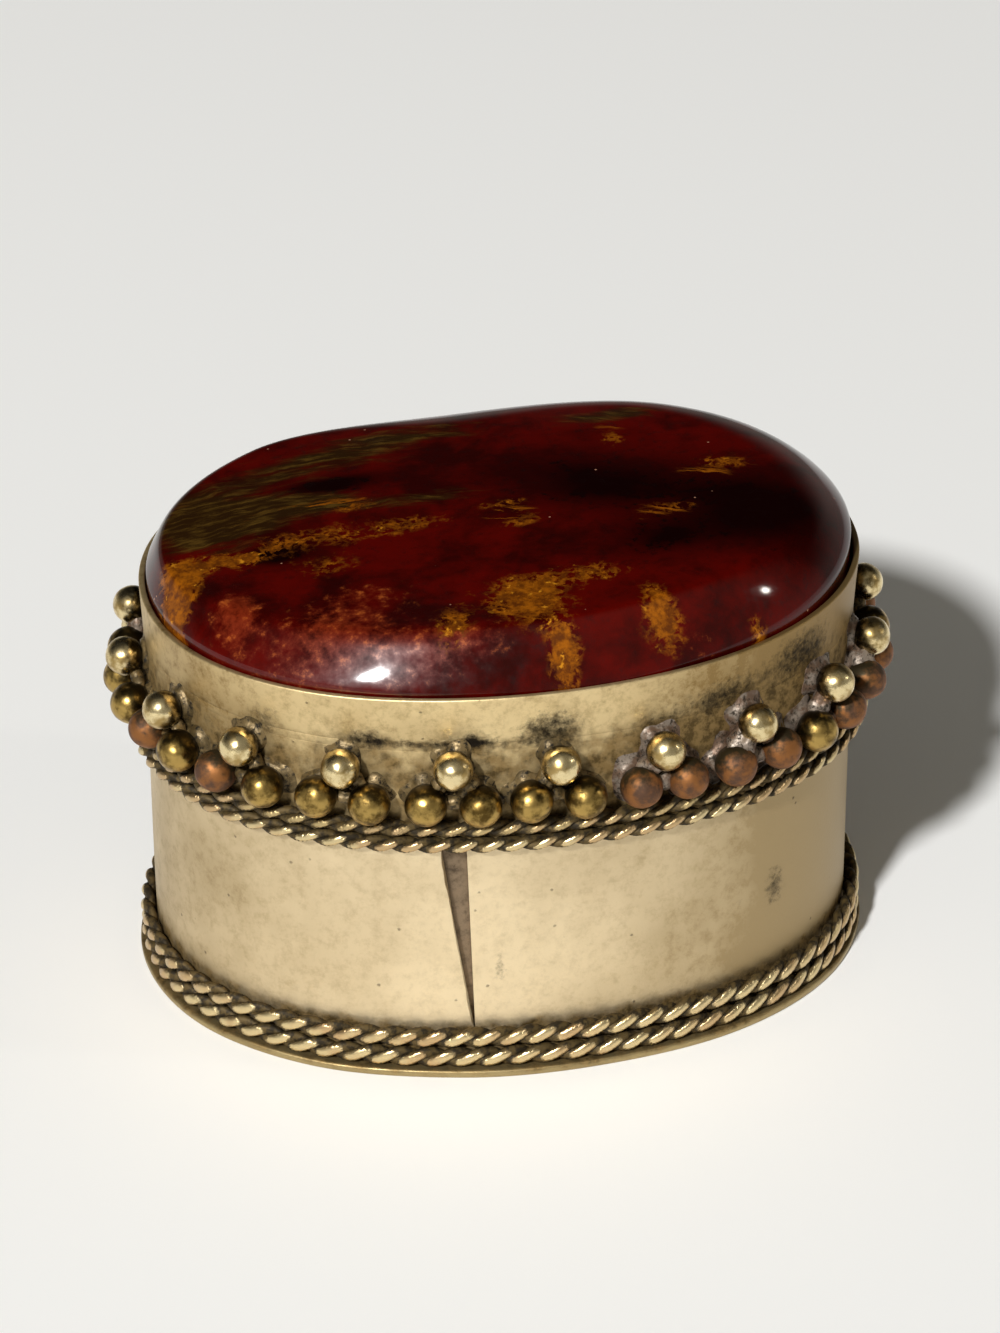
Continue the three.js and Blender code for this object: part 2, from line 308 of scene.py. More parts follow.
@dataclass(frozen=True)
class RubbedSheet(Finish):
    """Brass sheet, rolled thin, pickled pale and rubbed satin by years of handling.

    A thin oxide film scatters a part of the light. The eye gets a pale, soft gold with faint cloudy
    patches, pin-head pits and short scratches of dark tarnish, brown stain where wires and granules
    keep fingers away, and soot by the solder.
    """

    pale: str = "ecd8b2"
    dull: str = "a8926a"
    stain: str = "967c4f"
    deep_stain: str = "604d2c"
    grime: str = "211a10"
    metallic: float = 0.8
    roughness: float = 0.46
    dirt_roughness: float = 0.22
    clouding: float = 0.3
    mottling: float = 0.3
    pit_spacing: float = 1.6 * MM
    pit_radius: float = 0.11 * MM
    pit_share: float = 0.6
    pit_strength: float = 0.5
    scratch_spacing: float = 3.4 * MM
    scratch_share: float = 0.12
    scratch_slant: float = 0.7
    scratch_stretch: float = 0.12
    grain_depth: float = 0.016 * MM
    dirt_lift: float = 3.0
    clouds: Cloud = Cloud(9 * MM, (0.38, 0.68), 3.0)
    mottles: Cloud = Cloud(0.9 * MM, (0.42, 0.75), 6.0, 0.75)
    stains: Cloud = Cloud(1.3 * MM, (0.7, 1.2), 6.0, 0.5)
    stain_depths: Cloud = Cloud(0.7 * MM, (0.42, 0.62), 6.0, 0.7)
    crusts: Cloud = Cloud(0.5 * MM, (0.7, 1.25), 5.0, 0.7)
    grain: Cloud = Cloud(0.2 * MM, roughness=0.5)

    def shade(self, tree: Tree, coordinates: Socket) -> Socket:
        """Build the shader of rubbed sheet.

        Args:
            tree: The material's node tree.
            coordinates: The object's coordinates, in metres.

        Returns:
            The shader's output.
        """
        # The tarnish towards the ends, which also paints shade there, dulls the sheet together with
        # the clouds.
        tarnish = add_node(tree, "Attribute", {}, "Fac", attribute_name=TARNISH)
        cloudy = {0: self.clouds.patches(tree, coordinates), 1: self.clouding, 2: tarnish}
        clouded = add_node(tree, "Math", cloudy, operation="MULTIPLY_ADD")
        mottled = {0: self.mottles.patches(tree, coordinates), 1: self.mottling, 2: clouded}
        dulling = add_node(tree, "Math", mottled, operation="MULTIPLY_ADD", use_clamp=True)
        depth = self.stain_depths.patches(tree, coordinates)
        stain = layered(tree, self.stain, (depth, self.deep_stain))
        # Stain, with painted shade on the lid's right side.
        stained = self.stains.fray(tree, coordinates, STAIN)
        marks = self.marks(tree, coordinates)
        black = {0: self.crusts.fray(tree, coordinates, SOOT), 1: marks}
        dirt = add_node(tree, "Math", black, operation="MAXIMUM")
        layers = ((dulling, self.dull), (stained, stain), (dirt, self.grime))
        soil = add_node(tree, "Math", {0: stained, 1: dirt}, operation="MAXIMUM")
        dry = {0: soil, 1: self.dirt_roughness, 2: self.roughness}
        relief = {0: dirt, 1: self.dirt_lift, 2: self.grain.levels(tree, coordinates)}
        height = add_node(tree, "Math", relief, operation="MULTIPLY_ADD")
        surface = {
            "Base Color": layered(tree, self.pale, *layers),
            "Metallic": self.metallic,
            "Roughness": add_node(tree, "Math", dry, operation="MULTIPLY_ADD"),
            "Normal": add_node(tree, "Bump", {"Distance": self.grain_depth, "Height": height}),
        }
        return add_node(tree, "BsdfPrincipled", surface)

    def marks(self, tree: Tree, coordinates: Socket) -> Socket:
        """Make the mask of the pits and scratches.

        Args:
            tree: The material's node tree.
            coordinates: The object's coordinates, in metres.

        Returns:
            The mask.
        """
        ragged = {"Vector": coordinates, "Scale": 1 / self.pit_radius}
        shake = add_node(tree, "TexNoise", ragged, "Color")
        shift = {0: shake, 1: (self.pit_radius,) * 3, 2: coordinates}
        shaken = add_node(tree, "VectorMath", shift, operation="MULTIPLY_ADD")
        pits = specks(tree, shaken, self.pit_spacing, self.pit_radius, self.pit_share)
        slant = (0.0, self.scratch_slant, 0.0)
        stretch = (self.scratch_stretch, 1.0, 1.0)
        lie = {"Vector": shaken, "Rotation": slant, "Scale": stretch}
        slanted = add_node(tree, "Mapping", lie)
        thin = self.pit_radius / 2
        scratches = specks(tree, slanted, self.scratch_spacing, thin, self.scratch_share)
        faint = {0: pits, 1: self.pit_strength, 2: scratches}
        return add_node(tree, "Math", faint, operation="MULTIPLY_ADD", use_clamp=True)


@dataclass(frozen=True)
class DrawnWire(Finish):
    """Brass wire, drawn, twisted, squashed and oxidised, with its crests rubbed bright.

    The eye gets pale gold grains, some of them rosy, between grooves full of olive-brown dirt.
    """

    bright: str = "dfca9a"
    rosy: str = "cbad80"
    groove: str = "5a4928"
    deep_groove: str = "2a2110"
    roughness: float = 0.33
    groove_roughness: float = 0.65
    groove_metallic: float = 0.5
    rubbing: Limits = (0.85, 1.2)
    dirt_depth: float = 0.05 * MM
    tints: Cloud = Cloud(4 * MM, (0.42, 0.6), 3.0)
    groove_depths: Cloud = Cloud(0.5 * MM, (0.4, 0.6), 5.0)
    lumps: Cloud = Cloud(0.5 * MM, roughness=0.5)

    def shade(self, tree: Tree, coordinates: Socket) -> Socket:
        """Build the shader of rubbed, oxidised wire.

        Args:
            tree: The material's node tree.
            coordinates: The object's coordinates, in metres.

        Returns:
            The shader's output.
        """
        tint = self.tints.patches(tree, coordinates)
        depth = self.groove_depths.patches(tree, coordinates)
        metal = layered(tree, self.bright, (tint, self.rosy))
        dirt = layered(tree, self.groove, (depth, self.deep_groove))
        cloud = self.lumps.levels(tree, coordinates)
        rubbed = marked(tree, CREST, cloud, self.rubbing)
        height = add_node(tree, "Math", {0: rubbed, 1: cloud}, operation="ADD")
        dry = {"Value": rubbed, "To Min": self.groove_roughness, "To Max": self.roughness}
        bare = {"Value": rubbed, "To Min": self.groove_metallic}
        surface = {
            "Base Color": layered(tree, dirt, (rubbed, metal)),
            "Metallic": add_node(tree, "MapRange", bare),
            "Roughness": add_node(tree, "MapRange", dry),
            "Normal": add_node(tree, "Bump", {"Distance": self.dirt_depth, "Height": height}),
        }
        return add_node(tree, "BsdfPrincipled", surface)


@dataclass(frozen=True)
class MeltedGranule(Finish):
    """A granule, melted to a ball from a snip of wire, and darkened on its top and back by tarnish
    and painted shade.

    The eye gets a small, uneven, smeared ball with a soft glint, and a top and back darkened by
    tarnish, painted shade and a painted dark reflection.
    """

    clean: str
    tarnished: str
    roughness: float
    metallic: float = 1.0
    # Colour of the darkened top and back: tarnish, with painted shade and a painted dark
    # reflection.
    dark: str = "332a17"
    tarnish_roughness: float = 0.14
    dimple_depth: float = 0.03 * MM
    smears: Cloud = Cloud(1.0 * MM, (0.4, 0.64), 5.0)
    dimples: Cloud = Cloud(0.5 * MM, (0.8, 1.3), roughness=0.5)

    def shade(self, tree: Tree, coordinates: Socket) -> Socket:
        """Build the shader of one tone of granule.

        Args:
            tree: The material's node tree.
            coordinates: The object's coordinates, in metres.

        Returns:
            The shader's output.
        """
        smeared = self.smears.patches(tree, coordinates)
        cloud = self.dimples.levels(tree, coordinates)
        # The top and back darken: tarnish, with painted shade and a painted dark reflection.
        sheltered = marked(tree, SHELTER, cloud, self.dimples.limits)
        dry = {0: smeared, 1: self.tarnish_roughness, 2: self.roughness}
        surface = {
            "Base Color": layered(
                tree, self.clean, (smeared, self.tarnished), (sheltered, self.dark)
            ),
            "Metallic": self.metallic,
            "Roughness": add_node(tree, "Math", dry, operation="MULTIPLY_ADD"),
            "Normal": add_node(tree, "Bump", {"Distance": self.dimple_depth, "Height": cloud}),
        }
        return add_node(tree, "BsdfPrincipled", surface)


@dataclass(frozen=True)
class FrozenSolder(Finish):
    """Solder and flux, run with a torch and left as they froze, with dirt in their hollows.

    The eye gets lumpy metal or brown glassy crust, broken by nearly black specks.
    """

    metal: str = "84776a"
    flux: str = "66503f"
    grime: str = "2a2115"
    metallic: float = 0.45
    roughness: float = 0.42
    crust_roughness: float = 0.75
    crust_depth: float = 0.06 * MM
    pools: Cloud = Cloud(1.0 * MM, (0.42, 0.56))
    crusts: Cloud = Cloud(0.35 * MM, (0.48, 0.64), 5.0, 0.7)
    lumps: Cloud = Cloud(0.35 * MM, roughness=0.5)

    def shade(self, tree: Tree, coordinates: Socket) -> Socket:
        """Build the shader of crusted solder.

        Args:
            tree: The material's node tree.
            coordinates: The object's coordinates, in metres.

        Returns:
            The shader's output.
        """
        pool = self.pools.patches(tree, coordinates)
        crust = self.crusts.patches(tree, coordinates)
        lumps = self.lumps.levels(tree, coordinates)
        dry = {"Value": crust, "To Min": self.roughness, "To Max": self.crust_roughness}
        surface = {
            "Base Color": layered(tree, self.metal, (pool, self.flux), (crust, self.grime)),
            "Metallic": self.metallic,
            "Roughness": add_node(tree, "MapRange", dry),
            "Normal": add_node(tree, "Bump", {"Distance": self.crust_depth, "Height": lumps}),
        }
        return add_node(tree, "BsdfPrincipled", surface)


class Vein(Enum):
    """A kind of marking in the jasper, or its worn part, named as the attribute that places it."""

    OCHRE = "ochre"
    BRICK = "brick"
    OLIVE = "olive"
    THREAD = "thread"
    DEEP = "deep"
    WORN = "worn"


@dataclass(frozen=True)
class PolishedJasper(Finish):
    """Red jasper, cut and polished to a mirror gloss and a little scratched since.

    The eye gets deep oxblood with fine brick-red grains, ragged islands of golden ochre, olive
    bands that flow along the stone, thin ochre threads and tiny pale specks, under a sharp glint
    that the fine scratches spread into a mauve haze.
    """

    oxblood: str = "4d0401"
    maroon: str = "270201"
    black_red: str = "0e0000"
    brick: str = "68200c"
    orange: str = "96481a"
    olive: str = "261505"
    olive_light: str = "4e3812"
    ochre: str = "8e4f0a"
    ochre_dark: str = "552804"
    gold: str = "bd7c1a"
    speck: str = "a87c64"
    roughness: float = 0.08
    rubbed_roughness: float = 0.08
    specular: float = 0.22
    ior: float = 1.54
    worn_roughness: float = 0.36
    worn_limits: Limits = (0.4, 3.6)
    warp_size: float = 3.2 * MM
    warp_detail: float = 3.0
    warp_reach: float = 1.6 * MM
    flow_stretch: float = 0.2
    flow_bend: float = 12.0
    flow_peak: float = 10 * MM
    speck_spacing: float = 1.3 * MM
    speck_radius: float = 0.09 * MM
    speck_share: float = 0.16
    mottling: float = 0.6
    lace_limits: Limits = (0.7, 1.0)
    lace_width: float = 0.08
    thread_width: float = 0.03
    red_clouds: Cloud = Cloud(5 * MM, (0.36, 0.64), 5.0)
    deep_clouds: Cloud = Cloud(5 * MM, (0.6, 1.2), roughness=0.5)
    mottles: Cloud = Cloud(0.8 * MM, (0.5, 0.8), 6.0, 0.7)
    olive_streaks: Cloud = Cloud(1.3 * MM, (0.78, 1.12), 6.0, 0.65)
    light_streaks: Cloud = Cloud(1.3 / 3 * MM, (0.45, 0.7), 5.0, 0.65)
    brick_grains: Cloud = Cloud(0.8 * MM, (0.82, 1.15), 6.0, 0.68)
    orange_grains: Cloud = Cloud(0.8 * MM, (0.55, 0.7), 6.0, 0.7)
    ochre_cloud: Cloud = Cloud(1.7 * MM, (0.96, 1.12), 8.0, 0.72)
    ochre_depths: Cloud = Cloud(0.8 * MM, (0.35, 0.62), 6.0, 0.7)
    gold_grains: Cloud = Cloud(0.8 * MM, (0.6, 0.68), 6.0)
    lace: Cloud = Cloud(0.9 * MM, detail=6.0)
    thread_net: Cloud = Cloud(2.2 * MM, detail=8.0)
    thread_wisps: Cloud = Cloud(1.1 * MM, (0.85, 1.05), 6.0, 0.7)
    rubs: Cloud = Cloud(0.8 * MM, (0.5, 0.8), 6.0)
    scuffs: Cloud = Cloud(0.8 * MM, (0.2, 0.8), 5.0)

    def shade(self, tree: Tree, coordinates: Socket) -> Socket:
        """Build the shader of polished jasper.

        Args:
            tree: The material's node tree.
            coordinates: The object's coordinates, in metres.

        Returns:
            The shader's output.
        """
        warp = {"Vector": coordinates, "Scale": 1 / self.warp_size, "Detail": self.warp_detail}
        drift = add_node(tree, "TexNoise", warp, "Color")
        shift = {0: drift, 1: (self.warp_reach,) * 3, 2: coordinates}
        swirled = add_node(tree, "VectorMath", shift, operation="MULTIPLY_ADD")
        flow = self.flow(tree, swirled)
        layers = (
            self.bands(tree, flow),
            self.grains(tree, coordinates),
            self.islands(tree, swirled, coordinates),
            self.threads(tree, flow),
            self.dots(tree, coordinates),
        )
        rub = {0: self.rubs.patches(tree, coordinates), 1: self.rubbed_roughness, 2: self.roughness}
        scuff = self.scuffs.patches(tree, coordinates)
        surface = {
            "Base Color": layered(tree, self.ground(tree, swirled, coordinates), *layers),
            "Roughness": add_node(tree, "Math", rub, operation="MULTIPLY_ADD"),
            "IOR": self.ior,
            "Specular IOR Level": self.specular,
            "Coat Weight": marked(tree, Vein.WORN.value, scuff, self.worn_limits),
            "Coat Roughness": self.worn_roughness,
        }
        return add_node(tree, "BsdfPrincipled", surface)

    def flow(self, tree: Tree, vector: Socket) -> Socket:
        """Bend the coordinates so that noise in them streams along the stone.

        Args:
            tree: The material's node tree.
            vector: The coordinates, in metres.

        Returns:
            The bent coordinates.
        """
        axes = add_node(tree, "SeparateXYZ", {0: vector})
        across = axes.node.outputs["Y"]
        past = add_node(tree, "Math", {0: axes, 1: self.flow_peak}, operation="ADD")
        square = add_node(tree, "Math", {0: past, 1: past}, operation="MULTIPLY")
        bent = {0: square, 1: self.flow_bend, 2: across}
        stream = add_node(tree, "Math", bent, operation="MULTIPLY_ADD")
        slow = add_node(tree, "Math", {0: axes, 1: self.flow_stretch}, operation="MULTIPLY")
        return add_node(tree, "CombineXYZ", {"X": slow, "Y": stream})

    def ground(self, tree: Tree, swirled: Socket, coordinates: Socket) -> Socket:
        """Colour the red ground, with its dark regions and fine mottling.

        Args:
            tree: The material's node tree.
            swirled: Coordinates that swirl.
            coordinates: The object's coordinates, in metres.

        Returns:
            The ground's colour.
        """
        clouds = self.red_clouds.patches(tree, swirled)
        deep = self.deep_clouds.fray(tree, swirled, Vein.DEEP.value)
        both = {0: self.mottles.patches(tree, coordinates), 1: self.mottling, 2: deep}
        dark = add_node(tree, "Math", both, operation="MULTIPLY_ADD", use_clamp=True)
        return layered(tree, self.maroon, (clouds, self.oxblood), (dark, self.black_red))

    def bands(self, tree: Tree, flow: Socket) -> tuple[Socket, Socket]:
        """Make the olive bands, with the ground showing between their streaks.

        Args:
            tree: The material's node tree.
            flow: Coordinates that stream along the stone.

        Returns:
            The bands' mask and colour.
        """
        light = self.light_streaks.patches(tree, flow)
        banded = self.olive_streaks.fray(tree, flow, Vein.OLIVE.value)
        return banded, layered(tree, self.olive, (light, self.olive_light))

    def grains(self, tree: Tree, coordinates: Socket) -> tuple[Socket, Socket]:
        """Make the brick-red and orange grains.

        Args:
            tree: The material's node tree.
            coordinates: The object's coordinates, in metres.

        Returns:
            The grains' mask and colour.
        """
        hot = self.orange_grains.patches(tree, coordinates)
        bricked = self.brick_grains.fray(tree, coordinates, Vein.BRICK.value)
        return bricked, layered(tree, self.brick, (hot, self.orange))

    def islands(
        self, tree: Tree, swirled: Socket, coordinates: Socket
    ) -> tuple[Socket, Socket]:
        """Make the ochre islands, and the lace that frays them.

        Args:
            tree: The material's node tree.
            swirled: Coordinates that swirl.
            coordinates: The object's coordinates, in metres.

        Returns:
            The islands' mask and colour.
        """
        island = self.ochre_cloud.fray(tree, swirled, Vein.OCHRE.value)
        region = replace(self.ochre_cloud, limits=self.lace_limits)
        around = region.fray(tree, swirled, Vein.OCHRE.value)
        net = self.lace.lines(tree, swirled, self.lace_width)
        lace = add_node(tree, "Math", {0: around, 1: net}, operation="MULTIPLY")
        both = add_node(tree, "Math", {0: island, 1: lace}, operation="MAXIMUM")
        depth = self.ochre_depths.patches(tree, coordinates)
        bright = self.gold_grains.patches(tree, swirled)
        return both, layered(tree, self.ochre, (depth, self.ochre_dark), (bright, self.gold))

    def threads(self, tree: Tree, flow: Socket) -> tuple[Socket, str]:
        """Make the fine ochre threads.

        Args:
            tree: The material's node tree.
            flow: Coordinates that stream along the stone.

        Returns:
            The threads' mask and colour.
        """
        fine = self.thread_net.lines(tree, flow, self.thread_width)
        region = self.thread_wisps.fray(tree, flow, Vein.THREAD.value)
        return add_node(tree, "Math", {0: region, 1: fine}, operation="MULTIPLY"), self.ochre

    def dots(self, tree: Tree, coordinates: Socket) -> tuple[Socket, str]:
        """Make the pale specks: their mask and colour."""
        sizes = (self.speck_spacing, self.speck_radius, self.speck_share)
        return specks(tree, coordinates, *sizes), self.speck


@dataclass(frozen=True)
class PalePaint(Finish):
    """Matt emulsion paint, rolled on a board: the plain floor under the box."""

    colour: str = "f6f6f5"
    roughness: float = 0.9

    def shade(self, tree: Tree, coordinates: Socket) -> Socket:
        """Build the floor's shader."""
        surface = {"Base Color": linear(self.colour), "Roughness": self.roughness}
        return add_node(tree, "BsdfPrincipled", surface)


@dataclass(frozen=True)
class Oval:
    """The plan of a band: an ellipse, slightly squared, walked from the middle of its front."""

    length: float
    width: float
    squareness: float = 0.012
    samples: int = 2880

    def edge(self, turn: float) -> tuple[Vector, Vector]:
        """Find a place on the oval.

        Args:
            turn: The angle from the front, in radians.

        Returns:
            The point, and the unit vector that points straight out of the oval there.
        """
        half_length = self.length / 2 / (1 - self.squareness)
        half_width = self.width / 2 / (1 - self.squareness)
        point = Vector((
            half_length * (math.sin(turn) + self.squareness * math.sin(3 * turn)),
            -half_width * (math.cos(turn) - self.squareness * math.cos(3 * turn)),
            0.0,
        ))
        slope_x = half_length * (math.cos(turn) + 3 * self.squareness * math.cos(3 * turn))
        slope_y = half_width * (math.sin(turn) - 3 * self.squareness * math.sin(3 * turn))
        return point, Vector((slope_y, -slope_x, 0.0)).normalized()

    @cached_property
    def walk(self) -> list[float]:
        """The length walked to each of the samples, which lie at equal turns."""
        points = [self.edge(i * FULL_TURN / self.samples)[0] for i in range(self.samples + 1)]
        walked = [0.0]
        for here, there in pairwise(points):
            walked.append(walked[-1] + (there - here).length)
        return walked

    @property
    def perimeter(self) -> float:
        """The length of the whole way round."""
        return self.walk[-1]

    @property
    def radius(self) -> float:
        """The radius of the circle that is as long as the oval."""
        return self.perimeter / FULL_TURN

    def turn_at(self, share: float) -> float:
        """Find the turn at a share of the way round.

        Args:
            share: The share, which may be below 0 or past 1.

        Returns:
            The turn, in radians.
        """
        walked = share % 1.0 * self.perimeter
        after = min(bisect_right(self.walk, walked), self.samples)
        before = after - 1
        between = (walked - self.walk[before]) / (self.walk[after] - self.walk[before])
        return (before + between) * FULL_TURN / self.samples

    def share_at(self, x: float) -> float:
        """Find the share, between -1/4 and 1/4, at which the oval's front is at an x.

        Args:
            x: The x, in metres.

        Returns:
            The share.
        """
        low, high = -0.25, 0.25
        while high - low > 10**-SHARE_DIGITS:
            middle = (low + high) / 2
            if self.edge(self.turn_at(middle))[0].x < x:
                low = middle
            else:
                high = middle
        return low

    @lru_cache(maxsize=None)
    def stand(self, share: float) -> tuple[Vector, Vector]:
        """Find the point on the oval and the unit vector out of it at a share."""
        return self.edge(self.turn_at(share))

    def place(self, share: float, offset: float, height: float) -> Vector:
        """Find a point beside the oval.

        Args:
            share: The share of the way round.
            offset: The distance out of the oval.
            height: The point's z.

        Returns:
            The point.
        """
        point, outward = self.stand(round(share, SHARE_DIGITS))
        return point + outward * offset + Vector((0.0, 0.0, height))

    def outward(self, share: float) -> Vector:
        """Find the unit vector that points straight out of the oval at a share."""
        return self.stand(round(share, SHARE_DIGITS))[1]


def turn_of(point: Vector) -> float:
    """Find the turn of a point round the Z axis, from the front towards +X."""
    return math.atan2(point.x, -point.y) % FULL_TURN


def draw_profile(bm: Mesh, points: Iterable[tuple[float, float]], closed: bool) -> None:
    """Draw a profile in the plane in front of the Z axis.

    Args:
        bm: The mesh that gets the profile.
        points: Distances from the axis, and heights.
        closed: Whether the last point joins the first.
    """
    corners = [bm.verts.new((0.0, -distance, height)) for distance, height in points]
    for here, there in pairwise(corners):
        bm.edges.new((here, there))
    if closed:
        bm.edges.new((corners[-1], corners[0]))


def spin_mesh(bm: Mesh, steps: int, angle: float = FULL_TURN) -> None:
    """Spin everything in a mesh round the Z axis and point its faces outwards.

    One sector is spun and then copied round, which is much quicker than one long spin.

    Args:
        bm: The mesh, which holds a profile.
        steps: How many steps the whole angle gets, a multiple of SECTORS.
        angle: The angle.
    """
    about = {"cent": (0.0, 0.0, 0.0), "axis": (0.0, 0.0, 1.0), "dvec": (0.0, 0.0, 0.0)}
    sector = angle / SECTORS
    profile = bm.verts[:] + bm.edges[:]
    bmesh.ops.spin(bm, geom=profile, angle=sector, steps=steps // SECTORS, **about)
    whole = bm.verts[:] + bm.edges[:] + bm.faces[:]
    rest = {"angle": angle - sector, "steps": SECTORS - 1, "use_duplicate": True}
    bmesh.ops.spin(bm, geom=whole, **rest, **about)
    bmesh.ops.remove_doubles(bm, verts=bm.verts[:], dist=MERGE_DISTANCE)
    bmesh.ops.recalc_face_normals(bm, faces=bm.faces[:])


def soften_edges(bm: Mesh, width: float, above: float = -math.inf) -> None:
    """Round the sharp edges of a closed mesh, or only those that lie above a height.

    Args:
        bm: The mesh.
        width: How far from the edge the rounding starts.
        above: The height.
    """
    sharp = [
        edge
        for edge in bm.edges
        if len(edge.link_faces) == 2
        and edge.calc_face_angle() > SHARP_ANGLE
        and min(vert.co.z for vert in edge.verts) > above
    ]
    bmesh.ops.bevel(
        bm,
        geom=sharp,
        offset=width,
        offset_type="OFFSET",
        segments=ROUNDING_STEPS,
        profile=0.5,
        affect="EDGES",
        material=-1,
    )


def mark_points(bm: Mesh, attribute: str, level: Callable[[Vector], float]) -> None:
    """Give each point of a mesh an attribute that follows from its place.

    Args:
        bm: The mesh.
        attribute: The attribute's name.
        level: What finds its value at a place.
    """
    layer = bm.verts.layers.float.new(attribute)
    for vert in bm.verts:
        vert[layer] = level(vert.co)


def dent(point: Vector, size: float, depth: float) -> float:
    """Find how far hand work has pushed sheet out of true at a point."""
    return depth * noise.noise(point / size)


@dataclass(frozen=True)
class Dress:
    """What a piece wears and where it belongs."""

    body: str
    slot: str
    materials: Sequence[bpy.types.Material]


def add_piece(name: str, bm: Mesh, dress: Dress, *nodes: str) -> None:
    """Make a finished piece of a mesh.

    Args:
        name: The piece's name.
        bm: Its mesh, in the frame's coordinates, which is freed.
        dress: Its body and materials, and a slot that is not used.
        *nodes: The frame's nodes that it replaces.
    """
    mesh = bpy.data.meshes.new(name)
    bm.to_mesh(mesh)
    bm.free()
    mesh.shade_smooth()
    for material in dress.materials:
        mesh.materials.append(material)
    piece = bpy.data.objects.new(name, mesh)
    bpy.context.scene.collection.objects.link(piece)
    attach(piece, dress.body)
    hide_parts(*nodes)
    LOG.info("%s: %d faces", name, len(mesh.polygons))


@dataclass
class SheetBand:
    """A band of sheet that follows the oval."""

    oval: Oval
    outer: float
    thickness: float
    foot: float
    top: float
    rows: int
    steps: int = 480
    edge_width: float = 0.08 * MM
    dent_size: float = 9 * MM
    dent_depth: float = 0.05 * MM

    def profile(self) -> list[tuple[float, float]]:
        """The band's section, with rows of points up both faces and close to the edges.

        Returns:
            Distances from the axis, and heights.
        """
        near = self.oval.radius + self.outer
        far = near - self.thickness
        guard = EDGE_GUARD * self.edge_width
        height = self.top - self.foot - 2 * guard
        rows = [self.foot + guard + height * i / self.rows for i in range(self.rows + 1)]
        rise = [self.foot, *rows, self.top]
        return [(near, height) for height in rise] + [(far, height) for height in reversed(rise)]

    def build(self) -> Mesh:
        """Build the band's mesh.

        Returns:
            The mesh, bent onto the oval.
        """
        bm = bmesh.new()
        draw_profile(bm, self.profile(), closed=True)
        spin_mesh(bm, self.steps)
        soften_edges(bm, self.edge_width)
        self.bend(bm)
        return bm

    def bend(self, bm: Mesh) -> None:
        """Bend the spun mesh onto the oval.

        Args:
            bm: The mesh, spun round the Z axis.
        """
        for vert in bm.verts:
            offset = vert.co.xy.length - self.oval.radius
            vert.co = self.settle(turn_of(vert.co) / FULL_TURN, offset, vert.co.z)

    def settle(self, share: float, offset: float, height: float) -> Vector:
        """Place a point of the band, with the dents of hand work.

        Args:
            share: The share of the way round.
            offset: The distance out of the oval.
            height: The z.

        Returns:
            The point.
        """
        true = self.oval.place(share, 0.0, height)
        pushed = offset + dent(true, self.dent_size, self.dent_depth)
        return self.oval.place(share, pushed, height)


@dataclass
class SeamedWall(SheetBand):
    """The base's wall: a strip bent round, whose ends have sprung apart towards the top."""

    seam_x: float = -5.2 * MM
    lean: float = 0.5 * MM
    top_gap: float = 1.65 * MM
    tip_gap: float = 0.2 * MM
    closed_gap: float = 0.03 * MM
    closed_height: float = 3.0 * MM
    spring: float = 0.12 * MM
    spring_reach: float = 4 * MM
    raggedness: float = 0.12 * MM
    rag_size: float = 1.1 * MM
    margin: float = 0.001

    def build(self) -> Mesh:
        """Build the wall's mesh as a strip with two ends.

        Returns:
            The mesh, bent onto the oval.
        """
        bm = bmesh.new()
        draw_profile(bm, self.profile(), closed=True)
        about = Matrix.Rotation(self.margin * FULL_TURN, 3, "Z")
        bmesh.ops.rotate(bm, verts=bm.verts[:], cent=(0.0, 0.0, 0.0), matrix=about)
        spin_mesh(bm, self.steps, (1 - 2 * self.margin) * FULL_TURN)
        ends = [e for e in bm.edges if len(e.link_faces) == 1]
        bmesh.ops.holes_fill(bm, edges=ends, sides=0)
        bmesh.ops.recalc_face_normals(bm, faces=bm.faces[:])
        soften_edges(bm, self.edge_width / 2)
        self.bend(bm)
        return bm

    def gap(self, height: float) -> float:
        """Find how wide the seam is at a height.

        Args:
            height: The z.

        Returns:
            The width.
        """
        tip = self.foot + self.closed_height
        if height < tip:
            return self.closed_gap
        risen = (height - tip) / (self.top - tip)
        rag = self.raggedness * noise.noise(Vector((0.0, 0.0, height / self.rag_size)))
        return self.tip_gap + (self.top_gap - self.tip_gap) * risen + rag

    def settle(self, share: float, offset: float, height: float) -> Vector:
        """Place a point of the strip between the seam's two edges.

        Args:
            share: The share of the way round that the strip was spun to.
            offset: The distance out of the oval.
            height: The z.

        Returns:
            The point.
        """
        along = (share - self.margin) / (1 - 2 * self.margin)
        run = 1 - self.gap(height) / self.oval.perimeter
        from_end = (1 - along) * self.oval.perimeter
        risen = max(0.0, (height - self.foot) / (self.top - self.foot))
        sprung = self.spring * risen * math.exp(-from_end / self.spring_reach)
        leant = self.lean * (1 - risen) / self.oval.perimeter
        return super().settle(self.start + leant + along * run, offset + sprung, height)

    @cached_property
    def start(self) -> float:
        """The share of the way round at which the strip starts."""
        return self.oval.share_at(self.seam_x)


